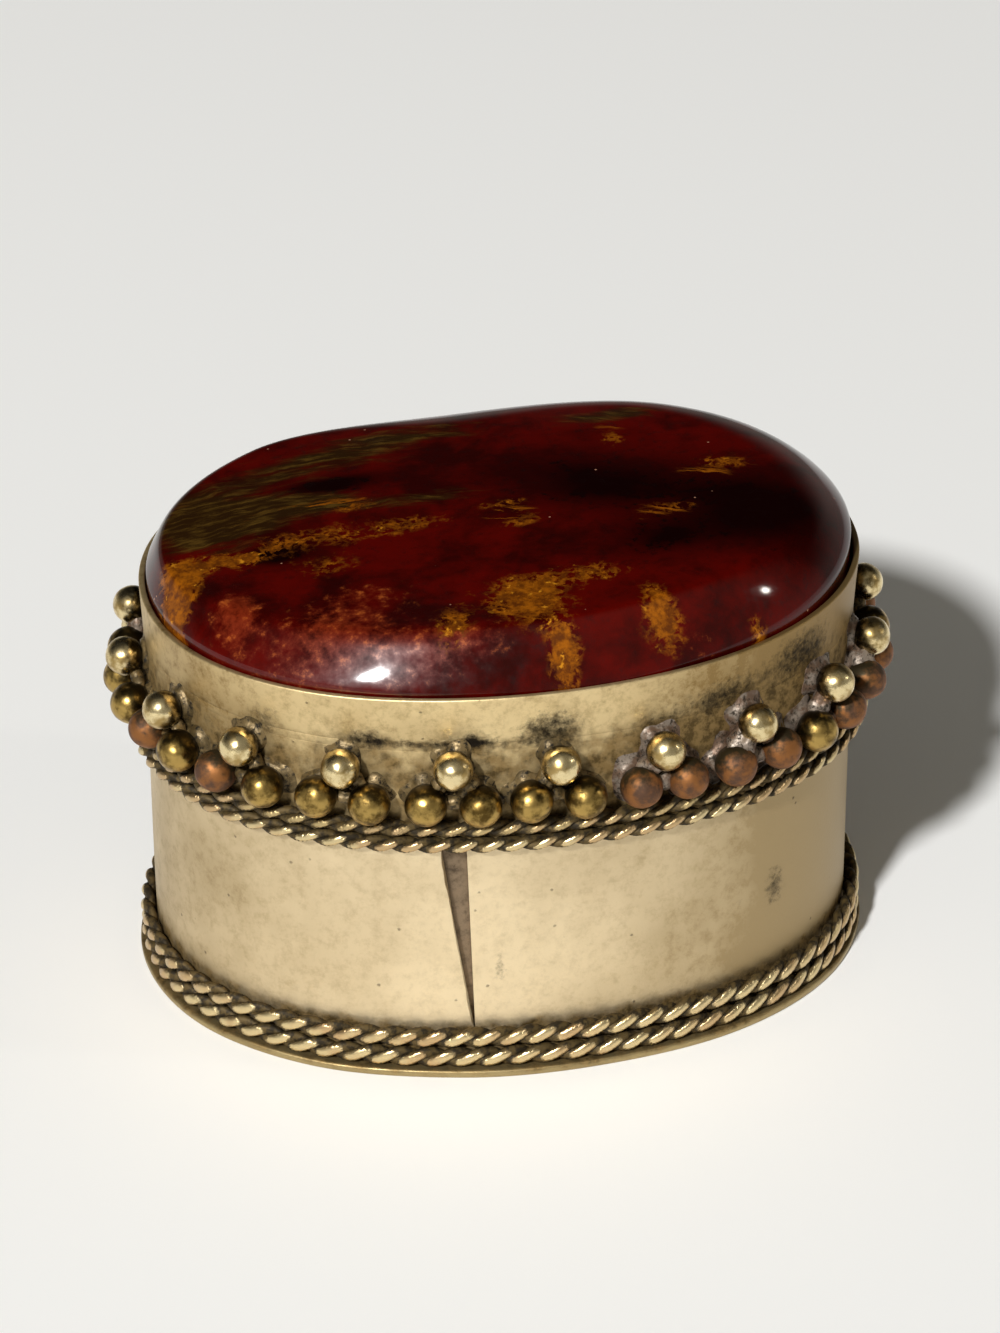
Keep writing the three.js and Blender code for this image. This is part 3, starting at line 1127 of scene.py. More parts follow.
@dataclass
class FlatPlate:
    """A flat oval plate of sheet."""

    oval: Oval
    overhang: float
    foot: float
    top: float
    steps: int = 480
    edge_width: float = 0.15 * MM
    rings: Sequence[float] = (0.25, 0.5, 0.75, 0.9)
    dent_size: float = 7 * MM
    dent_depth: float = 0.12 * MM

    def build(self) -> Mesh:
        """Build the plate's mesh.

        Returns:
            The mesh.
        """
        bm = bmesh.new()
        edge = self.oval.radius + self.overhang
        rings = [*(edge * share for share in self.rings), edge - EDGE_GUARD * self.edge_width]
        lower = [(0.0, self.foot)] + [(ring, self.foot) for ring in rings]
        upper = [(ring, self.top) for ring in reversed(rings)] + [(0.0, self.top)]
        draw_profile(bm, lower + [(edge, self.foot), (edge, self.top)] + upper, closed=False)
        spin_mesh(bm, self.steps)
        soften_edges(bm, self.edge_width)
        for vert in bm.verts:
            share = turn_of(vert.co) / FULL_TURN
            filled = vert.co.xy.length / edge
            true = self.oval.place(share, 0.0, vert.co.z)
            uneven = dent(true, self.dent_size, self.dent_depth)
            rim = self.oval.place(share, self.overhang + uneven, 0.0)
            vert.co = Vector((rim.x * filled, rim.y * filled, vert.co.z))
        return bm


@dataclass
class TwistedWire:
    """Two strands, twisted together, squashed a little and laid round the oval on a band."""

    oval: Oval
    gap: float
    depth: float
    height: float
    middle: float
    turns: int
    start: float
    steps_per_turn: int = 16
    sides: int = 12
    fullness: float = 1.12
    wander: float = 0.05 * MM
    wander_size: float = 12 * MM
    slack: float = 0.5
    crest_limits: Limits = (0.3, 0.95)

    def build(self) -> Mesh:
        """Build the mesh of both strands.

        Returns:
            The mesh, marked with its crests.
        """
        bm = bmesh.new()
        bm.verts.layers.float.new(CREST)
        for strand in range(2):
            self.add_strand(bm, strand * math.pi)
        bmesh.ops.recalc_face_normals(bm, faces=bm.faces[:])
        return bm

    def add_strand(self, bm: Mesh, phase: float) -> None:
        """Add one strand, spun as a plain ring and then wound round the wire's axis.

        Args:
            bm: The mesh that gets the strand.
            phase: The strand's angle round the wire's axis at the start.
        """
        ring = bmesh.new()
        axis_radius = self.oval.radius + self.gap + self.depth / 2
        lie = Matrix.Translation((0.0, -axis_radius, 0.0)) @ Matrix.Rotation(math.pi / 2, 4, "Y")
        size = self.height / 4 * self.fullness
        bmesh.ops.create_circle(ring, segments=self.sides, radius=size, matrix=lie)
        spin_mesh(ring, self.turns * self.steps_per_turn)
        layer = ring.verts.layers.float.new(CREST)
        for vert in ring.verts:
            out = vert.co.xy.length - axis_radius
            side = math.atan2(vert.co.z, out)
            share = turn_of(vert.co) / FULL_TURN
            arm = self.wind(share, side, math.hypot(out, vert.co.z), phase)
            outward = self.oval.outward(share)
            vert[layer] = smoothstep(*self.crest_limits, arm.dot(outward) / (self.height / 2))
            arm -= outward * arm.dot(outward) * (1 - self.depth / self.height)
            uneven = noise.noise(self.oval.place(share, 0.0, 0.0) / self.wander_size)
            middle = self.middle + self.wander * uneven
            vert.co = self.oval.place(share, self.gap + self.depth / 2, middle) + arm
        strand = bpy.data.meshes.new("strand")
        ring.to_mesh(strand)
        ring.free()
        bm.from_mesh(strand)
        bpy.data.meshes.remove(strand)

    def wind(self, share: float, side: float, size: float, phase: float) -> Vector:
        """Find where a point of a strand lies beside the wire's axis.

        Args:
            share: The share of the way round the oval.
            side: The angle round the strand, from its crest.
            size: The strand's radius.
            phase: The strand's angle round the wire's axis at the start.

        Returns:
            The arm from the wire's axis to the point, before the wire is squashed.
        """
        true = self.oval.place(share, 0.0, 0.0)
        uneven = self.slack * noise.noise(true / self.wander_size + Vector((0, 0, self.start)))
        angle = self.turns * FULL_TURN * share + phase + self.start + uneven
        outward = self.oval.outward(share)
        up = Vector((0.0, 0.0, 1.0))
        forward = up.cross(outward)
        crest = outward * math.cos(angle) + up * math.sin(angle)
        across = up * math.cos(angle) - outward * math.sin(angle)
        pace = self.oval.perimeter / (self.turns * FULL_TURN)
        reach = self.height / 4 * (2 - self.fullness)
        run = (forward * pace + across * reach).normalized()
        beside = run.cross(crest)
        return crest * (reach + size * math.cos(side)) - beside * size * math.sin(side)


@dataclass(frozen=True)
class Burn:
    """A patch of soot or tarnish, by its place along the front and its height."""

    along: float
    height: float
    along_reach: float
    up_reach: float
    strength: float

    def level(self, along: float, height: float) -> float:
        """Find how sooty the patch makes a place.

        Args:
            along: The place's distance along the front.
            height: Its z.

        Returns:
            The soot, from 0 to the strength.
        """
        far = ((along - self.along) / self.along_reach) ** 2
        far += ((height - self.height) / self.up_reach) ** 2
        return self.strength * math.exp(-far)


@dataclass(frozen=True)
class EndTarnish:
    """How much darker the sheet is towards the oval's ends, by distances from its middle: tarnish,
    with painted shade that is strongest on the right.
    """

    left: float = 0.5
    left_limits: Limits = (11 * MM, 21 * MM)
    right: float = 1.1
    right_limits: Limits = (-2 * MM, 21 * MM)

    def level(self, point: Vector) -> float:
        """Find how much darker the sheet is at a point, with tarnish and painted shade.

        Args:
            point: The point.

        Returns:
            The dullness, from 0.
        """
        left = self.left * smoothstep(*self.left_limits, -point.x)
        right = self.right * smoothstep(*self.right_limits, point.x)
        return left + right


def along_of(oval: Oval, point: Vector) -> float:
    """Find how far along the front a point lies, right of its middle, or left if negative.

    Args:
        oval: The oval that is walked.
        point: The point.

    Returns:
        The distance, in metres.
    """
    turn = math.atan2(point.x / oval.length, -point.y / oval.width) % FULL_TURN
    walked = oval.walk[int(turn / FULL_TURN * oval.samples)]
    return (walked / oval.perimeter + 0.5) % 1.0 * oval.perimeter - oval.perimeter / 2


@dataclass
class LidBands:
    """The lid's skirt, its closing plate, the bezel round the stone and the edge's wires."""

    oval: Oval
    skirt_foot: float
    skirt_top: float
    plate_top: float
    rim_top: float
    rim_length: float
    rim_width: float
    thickness: float = 0.5 * MM
    bezel_thickness: float = 0.4 * MM
    skirt_rows: int = 24
    bezel_rows: int = 16
    joint_edge: float = 0.01 * MM
    rim_edge: float = 0.12 * MM
    rim_tilt: float = 0.42 * MM
    rim_dip: float = 0.2 * MM
    rim_wave: float = 0.16 * MM
    rim_wave_size: float = 8 * MM
    wire_gap: float = 0.1 * MM
    wire_size: float = 1.1 * MM
    wire_turns: int = 40
    stone_clearance: float = 0.1 * MM
    girdle_drop: float = 0.35 * MM
    foot_stain: float = 0.45
    foot_stain_below: float = 1.5 * MM
    foot_stain_above: float = 1.2 * MM
    bezel_stain: float = 0.1
    # Stain on the right side, with painted shade away from the key lamp.
    right_stain: float = 0.25
    right_stain_limits: Limits = (-8 * MM, 20 * MM)
    soot_halo: float = 0.45
    # Tarnish towards the ends, with painted shade, most on the right.
    tarnish: EndTarnish = EndTarnish()
    burns: tuple[Burn, ...] = (
        Burn(-0.1 * MM, 24.3 * MM, 2.3 * MM, 1.5 * MM, 0.62),
        Burn(-6.9 * MM, 23.4 * MM, 4.6 * MM, 0.45 * MM, 0.58),
        Burn(-5.0 * MM, 23.9 * MM, 1.2 * MM, 0.7 * MM, 0.45),
        Burn(-11.4 * MM, 23.8 * MM, 1.5 * MM, 1.0 * MM, 0.48),
        Burn(-17.8 * MM, 23.8 * MM, 1.6 * MM, 1.6 * MM, 0.4),
        Burn(6.8 * MM, 23.4 * MM, 2.2 * MM, 1.2 * MM, 0.42),
        Burn(11.3 * MM, 24.2 * MM, 2.8 * MM, 1.5 * MM, 0.52),
        Burn(17.5 * MM, 24.9 * MM, 3.2 * MM, 1.9 * MM, 0.6),
    )

    def soot(self, point: Vector) -> float:
        """Find how sooty the lid's bands are at a point."""
        along = along_of(self.oval, point)
        return sum(burn.level(along, point.z) for burn in self.burns)

    def stain(self, point: Vector) -> float:
        """Find how stained the lid's bands are at a point, most by the granules' feet, with painted
        shade darkening their right side.

        Args:
            point: The point.

        Returns:
            The stain, from 0.
        """
        start = self.skirt_top - self.foot_stain_below
        low = 1 - smoothstep(start, self.plate_top + self.foot_stain_above, point.z)
        high = 1 - smoothstep(self.plate_top, self.rim_top, point.z)
        # Stain growing towards the right, which also paints shade on the side away from the key
        # lamp.
        right = self.right_stain * smoothstep(*self.right_stain_limits, point.x)
        halo = self.soot_halo * self.soot(point)
        return self.foot_stain * low + high * (self.bezel_stain + right) + halo

    def add_skirt(self, dress: Dress) -> None:
        """Add the skirt.

        Args:
            dress: What it wears.
        """
        band = SheetBand(
            self.oval,
            0.0,
            self.thickness,
            self.skirt_foot,
            self.skirt_top,
            self.skirt_rows,
            edge_width=self.joint_edge,
        )
        self.finish_band("lid_skirt_sheet", band.build(), dress, "lid_skirt")

    def add_plate(self, dress: Dress) -> None:
        """Add the plate between the skirt and the bezel.

        Args:
            dress: What it wears.
        """
        plate = FlatPlate(
            self.oval,
            0.0,
            self.skirt_top,
            self.plate_top,
            edge_width=self.joint_edge,
            dent_size=SheetBand.dent_size,
            dent_depth=SheetBand.dent_depth,
        )
        self.finish_band("lid_plate_sheet", plate.build(), dress, "lid_plate")

    def add_bezel(self, dress: Dress) -> None:
        """Add the bezel, pushed over the stone by hand, so that its rim waves a little.

        Args:
            dress: What it wears.
        """
        band = SheetBand(
            self.oval,
            0.0,
            self.bezel_thickness,
            self.plate_top,
            self.rim_top,
            self.bezel_rows,
        )
        rim = Oval(self.rim_length, self.rim_width, self.oval.squareness)
        bm = bmesh.new()
        draw_profile(bm, band.profile(), closed=True)
        spin_mesh(bm, band.steps)
        soften_edges(bm, self.rim_edge, above=self.plate_top + self.rim_edge)
        soften_edges(bm, self.joint_edge)
        for vert in bm.verts:
            share = turn_of(vert.co) / FULL_TURN
            offset = vert.co.xy.length - self.oval.radius
            climbed = (vert.co.z - self.plate_top) / (self.rim_top - self.plate_top)
            foot_point = band.settle(share, offset, vert.co.z)
            wave = dent(foot_point.xy.to_3d(), self.rim_wave_size, self.rim_wave) * climbed
            rise = self.rim_tilt * foot_point.x / (self.oval.length / 2)
            rise -= self.rim_dip * max(0.0, -foot_point.y / (self.oval.width / 2))
            rim_point = rim.place(share, offset + wave, vert.co.z + wave / 2 + rise)
            vert.co = foot_point.lerp(rim_point, climbed)
        self.finish_band("bezel_sheet", bm, dress, "bezel_band")

    def finish_band(self, name: str, bm: Mesh, dress: Dress, node: str) -> None:
        """Mark a band's soot, its stain and its tarnish towards the ends, both with some painted
        shade, and add it.

        Args:
            name: The piece's name.
            bm: The band's mesh.
            dress: What it wears.
            node: The node that it replaces.
        """
        mark_points(bm, SOOT, self.soot)
        mark_points(bm, STAIN, self.stain)
        mark_points(bm, TARNISH, self.tarnish.level)
        add_piece(name, bm, dress, node)

    def add_wire(self, name: str, dress: Dress) -> None:
        """Add one of the wires round the lid's lower edge.

        Args:
            name: The node that it replaces.
            dress: What it wears.
        """
        low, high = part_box(name)
        middle = (low.z + high.z) / 2
        wire = TwistedWire(
            self.oval,
            self.wire_gap,
            self.wire_size,
            self.wire_size,
            middle,
            self.wire_turns,
            start=middle / MM,
        )
        add_piece(f"{name}_twist", wire.build(), dress, name)

    def stone_foot(self) -> Oval:
        """Find the oval of the stone's foot, which stands just inside the bezel."""
        inset = 2 * (self.bezel_thickness + self.stone_clearance)
        return Oval(self.oval.length - inset, self.oval.width - inset)


@dataclass
class Base:
    """The box's base: a foot plate, a seamed wall, an inner neck and two twisted wires."""

    oval: Oval
    plate_overhang: float
    foot: float
    wall_top: float
    neck_top: float
    thickness: float = 0.5 * MM
    neck_outer: float = -0.65 * MM
    wall_rows: int = 32
    neck_rows: int = 16
    wire_depth: float = 1.0 * MM
    wire_height: float = 1.4 * MM
    wire_gap: float = 0.05 * MM
    wire_turns: int = 37
    stain_reach: float = 0.5 * MM
    end_stain_reach: float = 1.0 * MM
    groove_stain: float = 0.6
    groove_soot: float = 0.3
    plate_stain: float = 0.45
    wire_shift: float = 1.3
    # Tarnish towards the ends, with painted shade, most on the right.
    tarnish: EndTarnish = EndTarnish()
    marks: tuple[Burn, ...] = (
        Burn(15.7 * MM, 8.9 * MM, 0.9 * MM, 1.7 * MM, 0.5),
        Burn(12.8 * MM, 8.6 * MM, 0.4 * MM, 0.2 * MM, 1.0),
        Burn(-3.4 * MM, 7.2 * MM, 0.5 * MM, 1.6 * MM, 0.34),
    )

    @property
    def wires_top(self) -> float:
        """The height of the upper wire's top, down to which fingers rub the wall."""
        return self.foot + 2 * self.wire_height

    def stain(self, point: Vector) -> float:
        """Find how stained the wall is at a point: deep in the groove above the wires.

        Args:
            point: The point.

        Returns:
            The stain, from 0.
        """
        toward_end = (2 * point.x / self.oval.length) ** 2
        reach = self.stain_reach + (self.end_stain_reach - self.stain_reach) * toward_end
        return self.groove_stain * (1 - smoothstep(0.0, reach, point.z - self.wires_top))

    def soot(self, point: Vector) -> float:
        """Find how black the wall is at a point: by the wires, and where it was marked.

        Args:
            point: The point.

        Returns:
            The soot, from 0.
        """
        above = smoothstep(0.0, self.stain_reach / 2, point.z - self.wires_top)
        low = self.groove_soot * (1 - above)
        if point.y > 0:
            return low
        along = along_of(self.oval, point)
        return low + sum(mark.level(along, point.z) for mark in self.marks)

    def add_plate(self, dress: Dress) -> None:
        """Add the foot plate.

        Args:
            dress: What it wears.
        """
        bm = FlatPlate(self.oval, self.plate_overhang, 0.0, self.foot).build()
        stain = self.plate_stain
        mark_points(bm, STAIN, lambda point: stain * smoothstep(0.0, self.foot, point.z))
        add_piece("base_plate_sheet", bm, dress, "base_plate")

    def add_wall(self, dress: Dress) -> None:
        """Add the wall.

        Args:
            dress: What it wears.
        """
        wall = SeamedWall(
            self.oval, 0.0, self.thickness, self.foot, self.wall_top, self.wall_rows
        )
        bm = wall.build()
        mark_points(bm, STAIN, self.stain)
        mark_points(bm, SOOT, self.soot)
        mark_points(bm, TARNISH, self.tarnish.level)
        add_piece("base_wall_sheet", bm, dress, "base_wall")

    def add_neck(self, dress: Dress) -> None:
        """Add the inner band, whose upper part is the neck that the lid grips.

        Args:
            dress: What it wears.
        """
        band = SheetBand(
            self.oval,
            self.neck_outer,
            self.thickness,
            self.foot,
            self.neck_top,
            self.neck_rows,
        )
        add_piece("neck_sheet", band.build(), dress, "neck_band")

    def add_wires(self, dress: Dress) -> None:
        """Add the two wires, one on the other on the plate's edge.

        Args:
            dress: What they wear.
        """
        for level, name in enumerate(("base_wire_lower", "base_wire_upper")):
            low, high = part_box(name)
            wire = TwistedWire(
                self.oval,
                self.wire_gap,
                self.wire_depth,
                self.wire_height,
                (low.z + high.z) / 2,
                self.wire_turns,
                start=self.wire_shift * level,
            )
            add_piece(f"{name}_twist", wire.build(), dress, name)


class Tone(Enum):
    """How a granule has worn or tarnished."""

    PALE = 0
    GOLDEN = 1
    COPPER = 2


# The places of the solder's and the flux's materials after those of the tones.
SOLDER_MATERIAL = 3
FLUX_MATERIAL = 4


def give_material(verts: Iterable[bmesh.types.BMVert], place: int) -> None:
    """Give the faces round some points a material.

    Args:
        verts: The points.
        place: The material's place among the piece's.
    """
    for vert in verts:
        for face in vert.link_faces:
            face.material_index = place


@dataclass(frozen=True)
class SolderForm:
    """How solder froze by the granules: a puddle at each foot and a bridge between each two.

    Spreads, rises and splashes are shares of a granule's radius. What grows with the amount of
    solder is what a full amount adds.
    """

    steps: int = 32
    rings: int = 6
    sink: float = 0.15 * MM
    top_share: float = 0.75
    spread_share: float = 0.3
    rise_share: float = 0.2
    rise_growth_share: float = 0.15
    hollow: float = 2.2
    splash: float = 0.35
    splash_size_share: float = 0.8
    splash_lift: float = 0.08 * MM
    seeds: float = 100.0
    bridge_size: float = 0.42 * MM
    bridge_growth: float = 0.5 * MM
    bridge_depth: float = 0.75 * MM
    bridge_fill: float = 0.35 * MM
    bridge_stretch: float = 1.5
    bridge_fineness: int = 3
    raggedness: float = 0.45
    rag_size: float = 0.6 * MM
    metal_amount: float = 0.7


@dataclass
class GranuleCluster:
    """Three granules and the solder that holds them: two large ones below, a small one above."""

    oval: Oval
    number: int
    tones: tuple[Tone, Tone]
    soldering: float
    low_height: float
    high_height: float
    share: float
    reach: float
    low_diameter: float = 2.62 * MM
    high_diameter: float = 2.44 * MM
    low_gap: float = 0.05 * MM
    high_gap: float = 0.1 * MM
    jitter: float = 0.14 * MM
    unevenness: float = 0.05 * MM
    # How far the darkened side of golden and copper granules turns up to their top: tarnish with
    # painted shade.
    top_tarnish: float = 0.9
    fineness: int = 4
    solder: SolderForm = SolderForm()
    draws: random.Random = field(init=False)

    def __post_init__(self) -> None:
        """Seed the cluster's own draws."""
        self.draws = random.Random(self.number)

    def build(self) -> Mesh:
        """Build the mesh of the granules and their solder.

        Returns:
            The mesh, with a material for each tone, for solder and for flux.
        """
        bm = bmesh.new()
        bm.verts.layers.float.new(SHELTER)
        steps = self.reach / self.oval.perimeter
        left, right = self.tones
        spots = [
            (self.share - steps, self.low_gap, self.low_height, self.low_diameter, left),
            (self.share + steps, self.low_gap, self.low_height, self.low_diameter, right),
            (self.share, self.high_gap, self.high_height, self.high_diameter, Tone.PALE),
        ]
        centres = []
        for share, gap, height, diameter, tone in spots:
            share += self.draws.uniform(-1, 1) * self.jitter / self.oval.perimeter
            height += self.draws.uniform(-1, 1) * self.jitter
            centre = self.oval.place(share, gap + diameter / 2, height)
            self.add_granule(bm, centre, share, diameter / 2, tone)
            self.add_puddle(bm, share, height, diameter / 2)
            centres.append(centre)
        for here, there in ((0, 1), (0, 2), (1, 2)):
            self.add_bridge(bm, centres[here], centres[there])
        bmesh.ops.recalc_face_normals(bm, faces=bm.faces[:])
        return bm

    def add_granule(
        self, bm: Mesh, centre: Vector, share: float, radius: float, tone: Tone
    ) -> None:
        """Add one granule, a little out of round.

        Args:
            bm: The cluster's mesh.
            centre: The granule's centre.
            share: Its share of the way round.
            radius: Its radius.
            tone: How it has worn or tarnished.
        """
        ball = bmesh.ops.create_icosphere(
            bm,
            subdivisions=self.fineness,
            radius=radius,
            matrix=Matrix.Translation(centre),
        )
        # Golden and copper granules darken on their top and back, pale ones on their back: tarnish
        # with painted shade and a painted dark reflection.
        tarnish = 0.0 if tone is Tone.PALE else self.top_tarnish
        open_side = (self.oval.outward(share) - Vector((0.0, 0.0, tarnish))).normalized()
        layer = bm.verts.layers.float[SHELTER]
        seed = Vector((self.number, tone.value, 0.0))
        for vert in ball["verts"]:
            arm = vert.co - centre
            vert[layer] = 0.5 - 0.5 * arm.dot(open_side) / radius
            vert.co += arm / radius * self.unevenness * noise.noise(arm / radius + seed)
        give_material(ball["verts"], tone.value)

    def add_puddle(self, bm: Mesh, share: float, height: float, radius: float) -> None:
        """Add the solder that has run from a granule's foot out over the skirt.

        Args:
            bm: The cluster's mesh.
            share: The granule's share of the way round.
            height: The z of its centre.
            radius: Its radius.
        """
        form = self.solder
        inner = radius * form.top_share
        outer = radius * (1 + form.spread_share * self.soldering)
        rise = radius * (form.rise_share + form.rise_growth_share * self.soldering)
        seed = self.draws.uniform(0, form.seeds)
        puddle = bmesh.new()
        slope = [(0.0, -form.sink), (outer, -form.sink)]
        for ring in range(form.rings + 1):
            climbed = ring / form.rings
            slope.append((outer + (inner - outer) * climbed, rise * climbed**form.hollow))
        draw_profile(puddle, [*slope, (0.0, rise)], closed=False)
        spin_mesh(puddle, form.steps)
        for vert in puddle.verts:
            far = vert.co.xy.length / outer
            spot = Vector((vert.co.x, vert.co.y, seed * MM))
            splash = noise.noise(spot / (form.splash_size_share * radius))
            wide = 1 + form.splash * splash * far
            step = vert.co.x * wide / self.oval.perimeter
            lift = vert.co.z + form.splash_lift * splash * (vert.co.z > 0)
            vert.co = self.oval.place(share + step, lift, height + vert.co.y * wide)
        self.merge(bm, puddle)

    def add_bridge(self, bm: Mesh, here: Vector, there: Vector) -> None:
        """Add a lump of solder between two granules.

        Args:
            bm: The cluster's mesh.
            here: The centre of one granule.
            there: The centre of the other.
        """
        form = self.solder
        size = form.bridge_size + form.bridge_growth * self.soldering * self.draws.random()
        depth = form.bridge_depth - form.bridge_fill * self.soldering
        middle = (here + there) / 2 - self.oval.outward(self.share) * depth
        lump = bmesh.new()
        run = (there - here).normalized()
        lie = Matrix.Translation(middle) @ run.to_track_quat("X", "Z").to_matrix().to_4x4()
        stretch = Matrix.Diagonal((form.bridge_stretch, 1.0, 1.0, 1.0))
        bmesh.ops.create_icosphere(
            lump, subdivisions=form.bridge_fineness, radius=size, matrix=lie @ stretch
        )
        for vert in lump.verts:
            arm = vert.co - middle
            rag = noise.noise(arm / form.rag_size + middle / MM)
            vert.co += arm * form.raggedness * rag
        self.merge(bm, lump)

    def merge(self, bm: Mesh, solder: Mesh) -> None:
        """Add a mesh of solder to the cluster's.

        Args:
            bm: The cluster's mesh.
            solder: The solder's mesh, which is freed.
        """
        layer = solder.verts.layers.float.new(SHELTER)
        for vert in solder.verts:
            vert[layer] = 1.0
        is_metal = self.soldering > self.solder.metal_amount
        give_material(solder.verts, SOLDER_MATERIAL if is_metal else FLUX_MATERIAL)
        held = bpy.data.meshes.new("solder")
        solder.to_mesh(held)
        solder.free()
        bm.from_mesh(held)
        bpy.data.meshes.remove(held)


@dataclass
class GranuleRow:
    """The row of granules round the lid, in soldered threes."""

    oval: Oval
    count: int = 20
    first_share: float = 0.002
    spacing_share: float = 0.5
    drawn_soldering: Limits = (0.3, 0.9)
    shown_tones: dict[int, tuple[Tone, Tone]] = field(
        default_factory=lambda: {
            1: (Tone.GOLDEN, Tone.GOLDEN),
            2: (Tone.COPPER, Tone.COPPER),
            3: (Tone.COPPER, Tone.COPPER),
            4: (Tone.GOLDEN, Tone.COPPER),
            5: (Tone.COPPER, Tone.COPPER),
            16: (Tone.GOLDEN, Tone.GOLDEN),
            17: (Tone.COPPER, Tone.GOLDEN),
            18: (Tone.COPPER, Tone.GOLDEN),
            19: (Tone.GOLDEN, Tone.GOLDEN),
            20: (Tone.GOLDEN, Tone.GOLDEN),
        }
    )
    shown_soldering: dict[int, float] = field(
        default_factory=lambda: {
            1: 0.35, 2: 1.0, 3: 1.0, 4: 0.9, 5: 0.9, 16: 0.3, 17: 0.5, 18: 0.5, 19: 0.3, 20: 0.6,
        }
    )

    def add_clusters(self, dress: Dress) -> None:
        """Add every cluster.

        Args:
            dress: What they wear.
        """
        draws = random.Random(self.count)
        for index in range(self.count):
            number = index + 1
            node = f"granule_cluster_{number:02d}"
            low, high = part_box(node)
            drawn = (draws.choice(list(Tone)), draws.choice(list(Tone)))
            cluster = GranuleCluster(
                self.oval,
                number,
                self.shown_tones.get(number, drawn),
                self.shown_soldering.get(number, draws.uniform(*self.drawn_soldering)),
                low.z + GranuleCluster.low_diameter / 2,
                high.z - GranuleCluster.high_diameter / 2,
                self.first_share + index / self.count,
                self.oval.perimeter / self.count * self.spacing_share / 2,
            )
            add_piece(f"granules_{number:02d}", cluster.build(), dress, node)


@dataclass(frozen=True)
class Zone:
    """Where a kind of marking lies in the stone, as an ellipse seen from above, in mm."""

    vein: Vein
    x: float
    y: float
    x_reach: float
    y_reach: float
    strength: float = 1.0

    def level(self, point: Vector) -> float:
        """Find how strongly the zone marks a point.

        Args:
            point: The point, in metres.

        Returns:
            The mark, from 0 to the strength.
        """
        far = ((point.x / MM - self.x) / self.x_reach) ** 2
        far += ((point.y / MM - self.y) / self.y_reach) ** 2
        return self.strength * math.exp(-far)


# Where the markings lie in the stone, each placed one by one.
JASPER_ZONES = (
    Zone(Vein.OCHRE, -20.4, -3.3, 1.5, 2.5, 0.8),
    Zone(Vein.OCHRE, -17.2, -2.3, 2.4, 1.0, 0.7),
    Zone(Vein.OCHRE, -21.1, -5.5, 0.9, 1.4, 0.7),
    Zone(Vein.OCHRE, -0.4, -12.0, 2.5, 2.8, 0.9),
    Zone(Vein.OCHRE, 1.0, -16.2, 0.9, 1.2, 0.8),
    Zone(Vein.OCHRE, 3.9, -10.1, 2.0, 1.1, 0.6),
    Zone(Vein.OCHRE, 7.0, -13.6, 1.0, 1.6, 0.6),
    Zone(Vein.OCHRE, 7.5, -15.1, 1.3, 0.9, 0.62),
    Zone(Vein.OCHRE, -5.4, -13.7, 1.3, 1.8, 0.6),
    Zone(Vein.OCHRE, -6.4, -1.0, 3.2, 1.5, 0.46),
    Zone(Vein.OCHRE, -12.4, -0.9, 3.4, 1.4, 0.5),
    Zone(Vein.OCHRE, -11.4, -4.6, 2.6, 1.6, 0.4),
    Zone(Vein.OCHRE, 0.3, -0.2, 2.0, 0.6, 0.5),
    Zone(Vein.OCHRE, 0.9, -2.8, 1.6, 0.8, 0.5),
    Zone(Vein.OCHRE, 9.8, -3.6, 2.3, 0.9, 0.46),
    Zone(Vein.OCHRE, 14.8, 1.5, 2.4, 1.4, 0.44),
    Zone(Vein.OCHRE, -8.9, 2.3, 1.4, 0.7, 0.5),
    Zone(Vein.OCHRE, 13.5, -14.0, 0.9, 0.6, 0.5),
    Zone(Vein.OCHRE, 8.5, 6.8, 0.9, 1.5, 0.42),
    Zone(Vein.OLIVE, -18.1, 3.0, 4.2, 4.2, 0.85),
    Zone(Vein.OLIVE, -11.5, 8.6, 6.0, 2.2, 0.48),
    Zone(Vein.OLIVE, -12.0, 3.6, 4.4, 2.0, 0.65),
    Zone(Vein.OLIVE, -4.0, 1.9, 5.0, 1.4, 0.5),
    Zone(Vein.OLIVE, -4.4, 10.9, 6.2, 2.5, 0.55),
    Zone(Vein.OLIVE, 9.2, 10.0, 5.0, 1.4, 0.55),
    Zone(Vein.BRICK, -17.7, -7.9, 1.8, 2.6, 0.6),
    Zone(Vein.BRICK, -12.2, -12.0, 5.6, 3.0, 0.55),
    Zone(Vein.BRICK, -5.5, -15.0, 5.4, 1.6, 0.45),
    Zone(Vein.BRICK, -9.5, -8.4, 4.0, 1.8, 0.3),
    Zone(Vein.BRICK, 8.8, -15.3, 2.8, 1.0, 0.36),
    Zone(Vein.THREAD, 13.7, 0.6, 4.2, 2.0, 0.5),
    Zone(Vein.THREAD, 9.9, -3.7, 4.0, 1.6, 0.5),
    Zone(Vein.THREAD, 0.3, -1.6, 3.0, 1.8, 0.5),
    Zone(Vein.THREAD, 8.0, 7.9, 3.0, 1.4, 0.45),
    Zone(Vein.THREAD, -12.0, 3.0, 9.0, 2.6, 0.42),
    Zone(Vein.DEEP, -14.0, -2.2, 2.3, 1.6, 0.8),
    Zone(Vein.DEEP, 16.4, -5.6, 4.6, 5.0, 0.65),
    Zone(Vein.DEEP, 8.4, -7.0, 6.0, 3.0, 0.4),
    Zone(Vein.DEEP, -9.8, 5.7, 4.2, 1.5, 0.6),
    Zone(Vein.DEEP, 2.1, 4.2, 7.0, 3.6, 0.4),
    Zone(Vein.DEEP, 6.5, 0.5, 5.0, 3.0, 0.5),
    Zone(Vein.DEEP, 12.5, -1.5, 7.0, 5.0, 0.3),
    Zone(Vein.WORN, -9.5, -13.4, 8.5, 4.2, 1.0),
    Zone(Vein.WORN, -19.5, -6.0, 3.0, 4.0, 0.6),
)


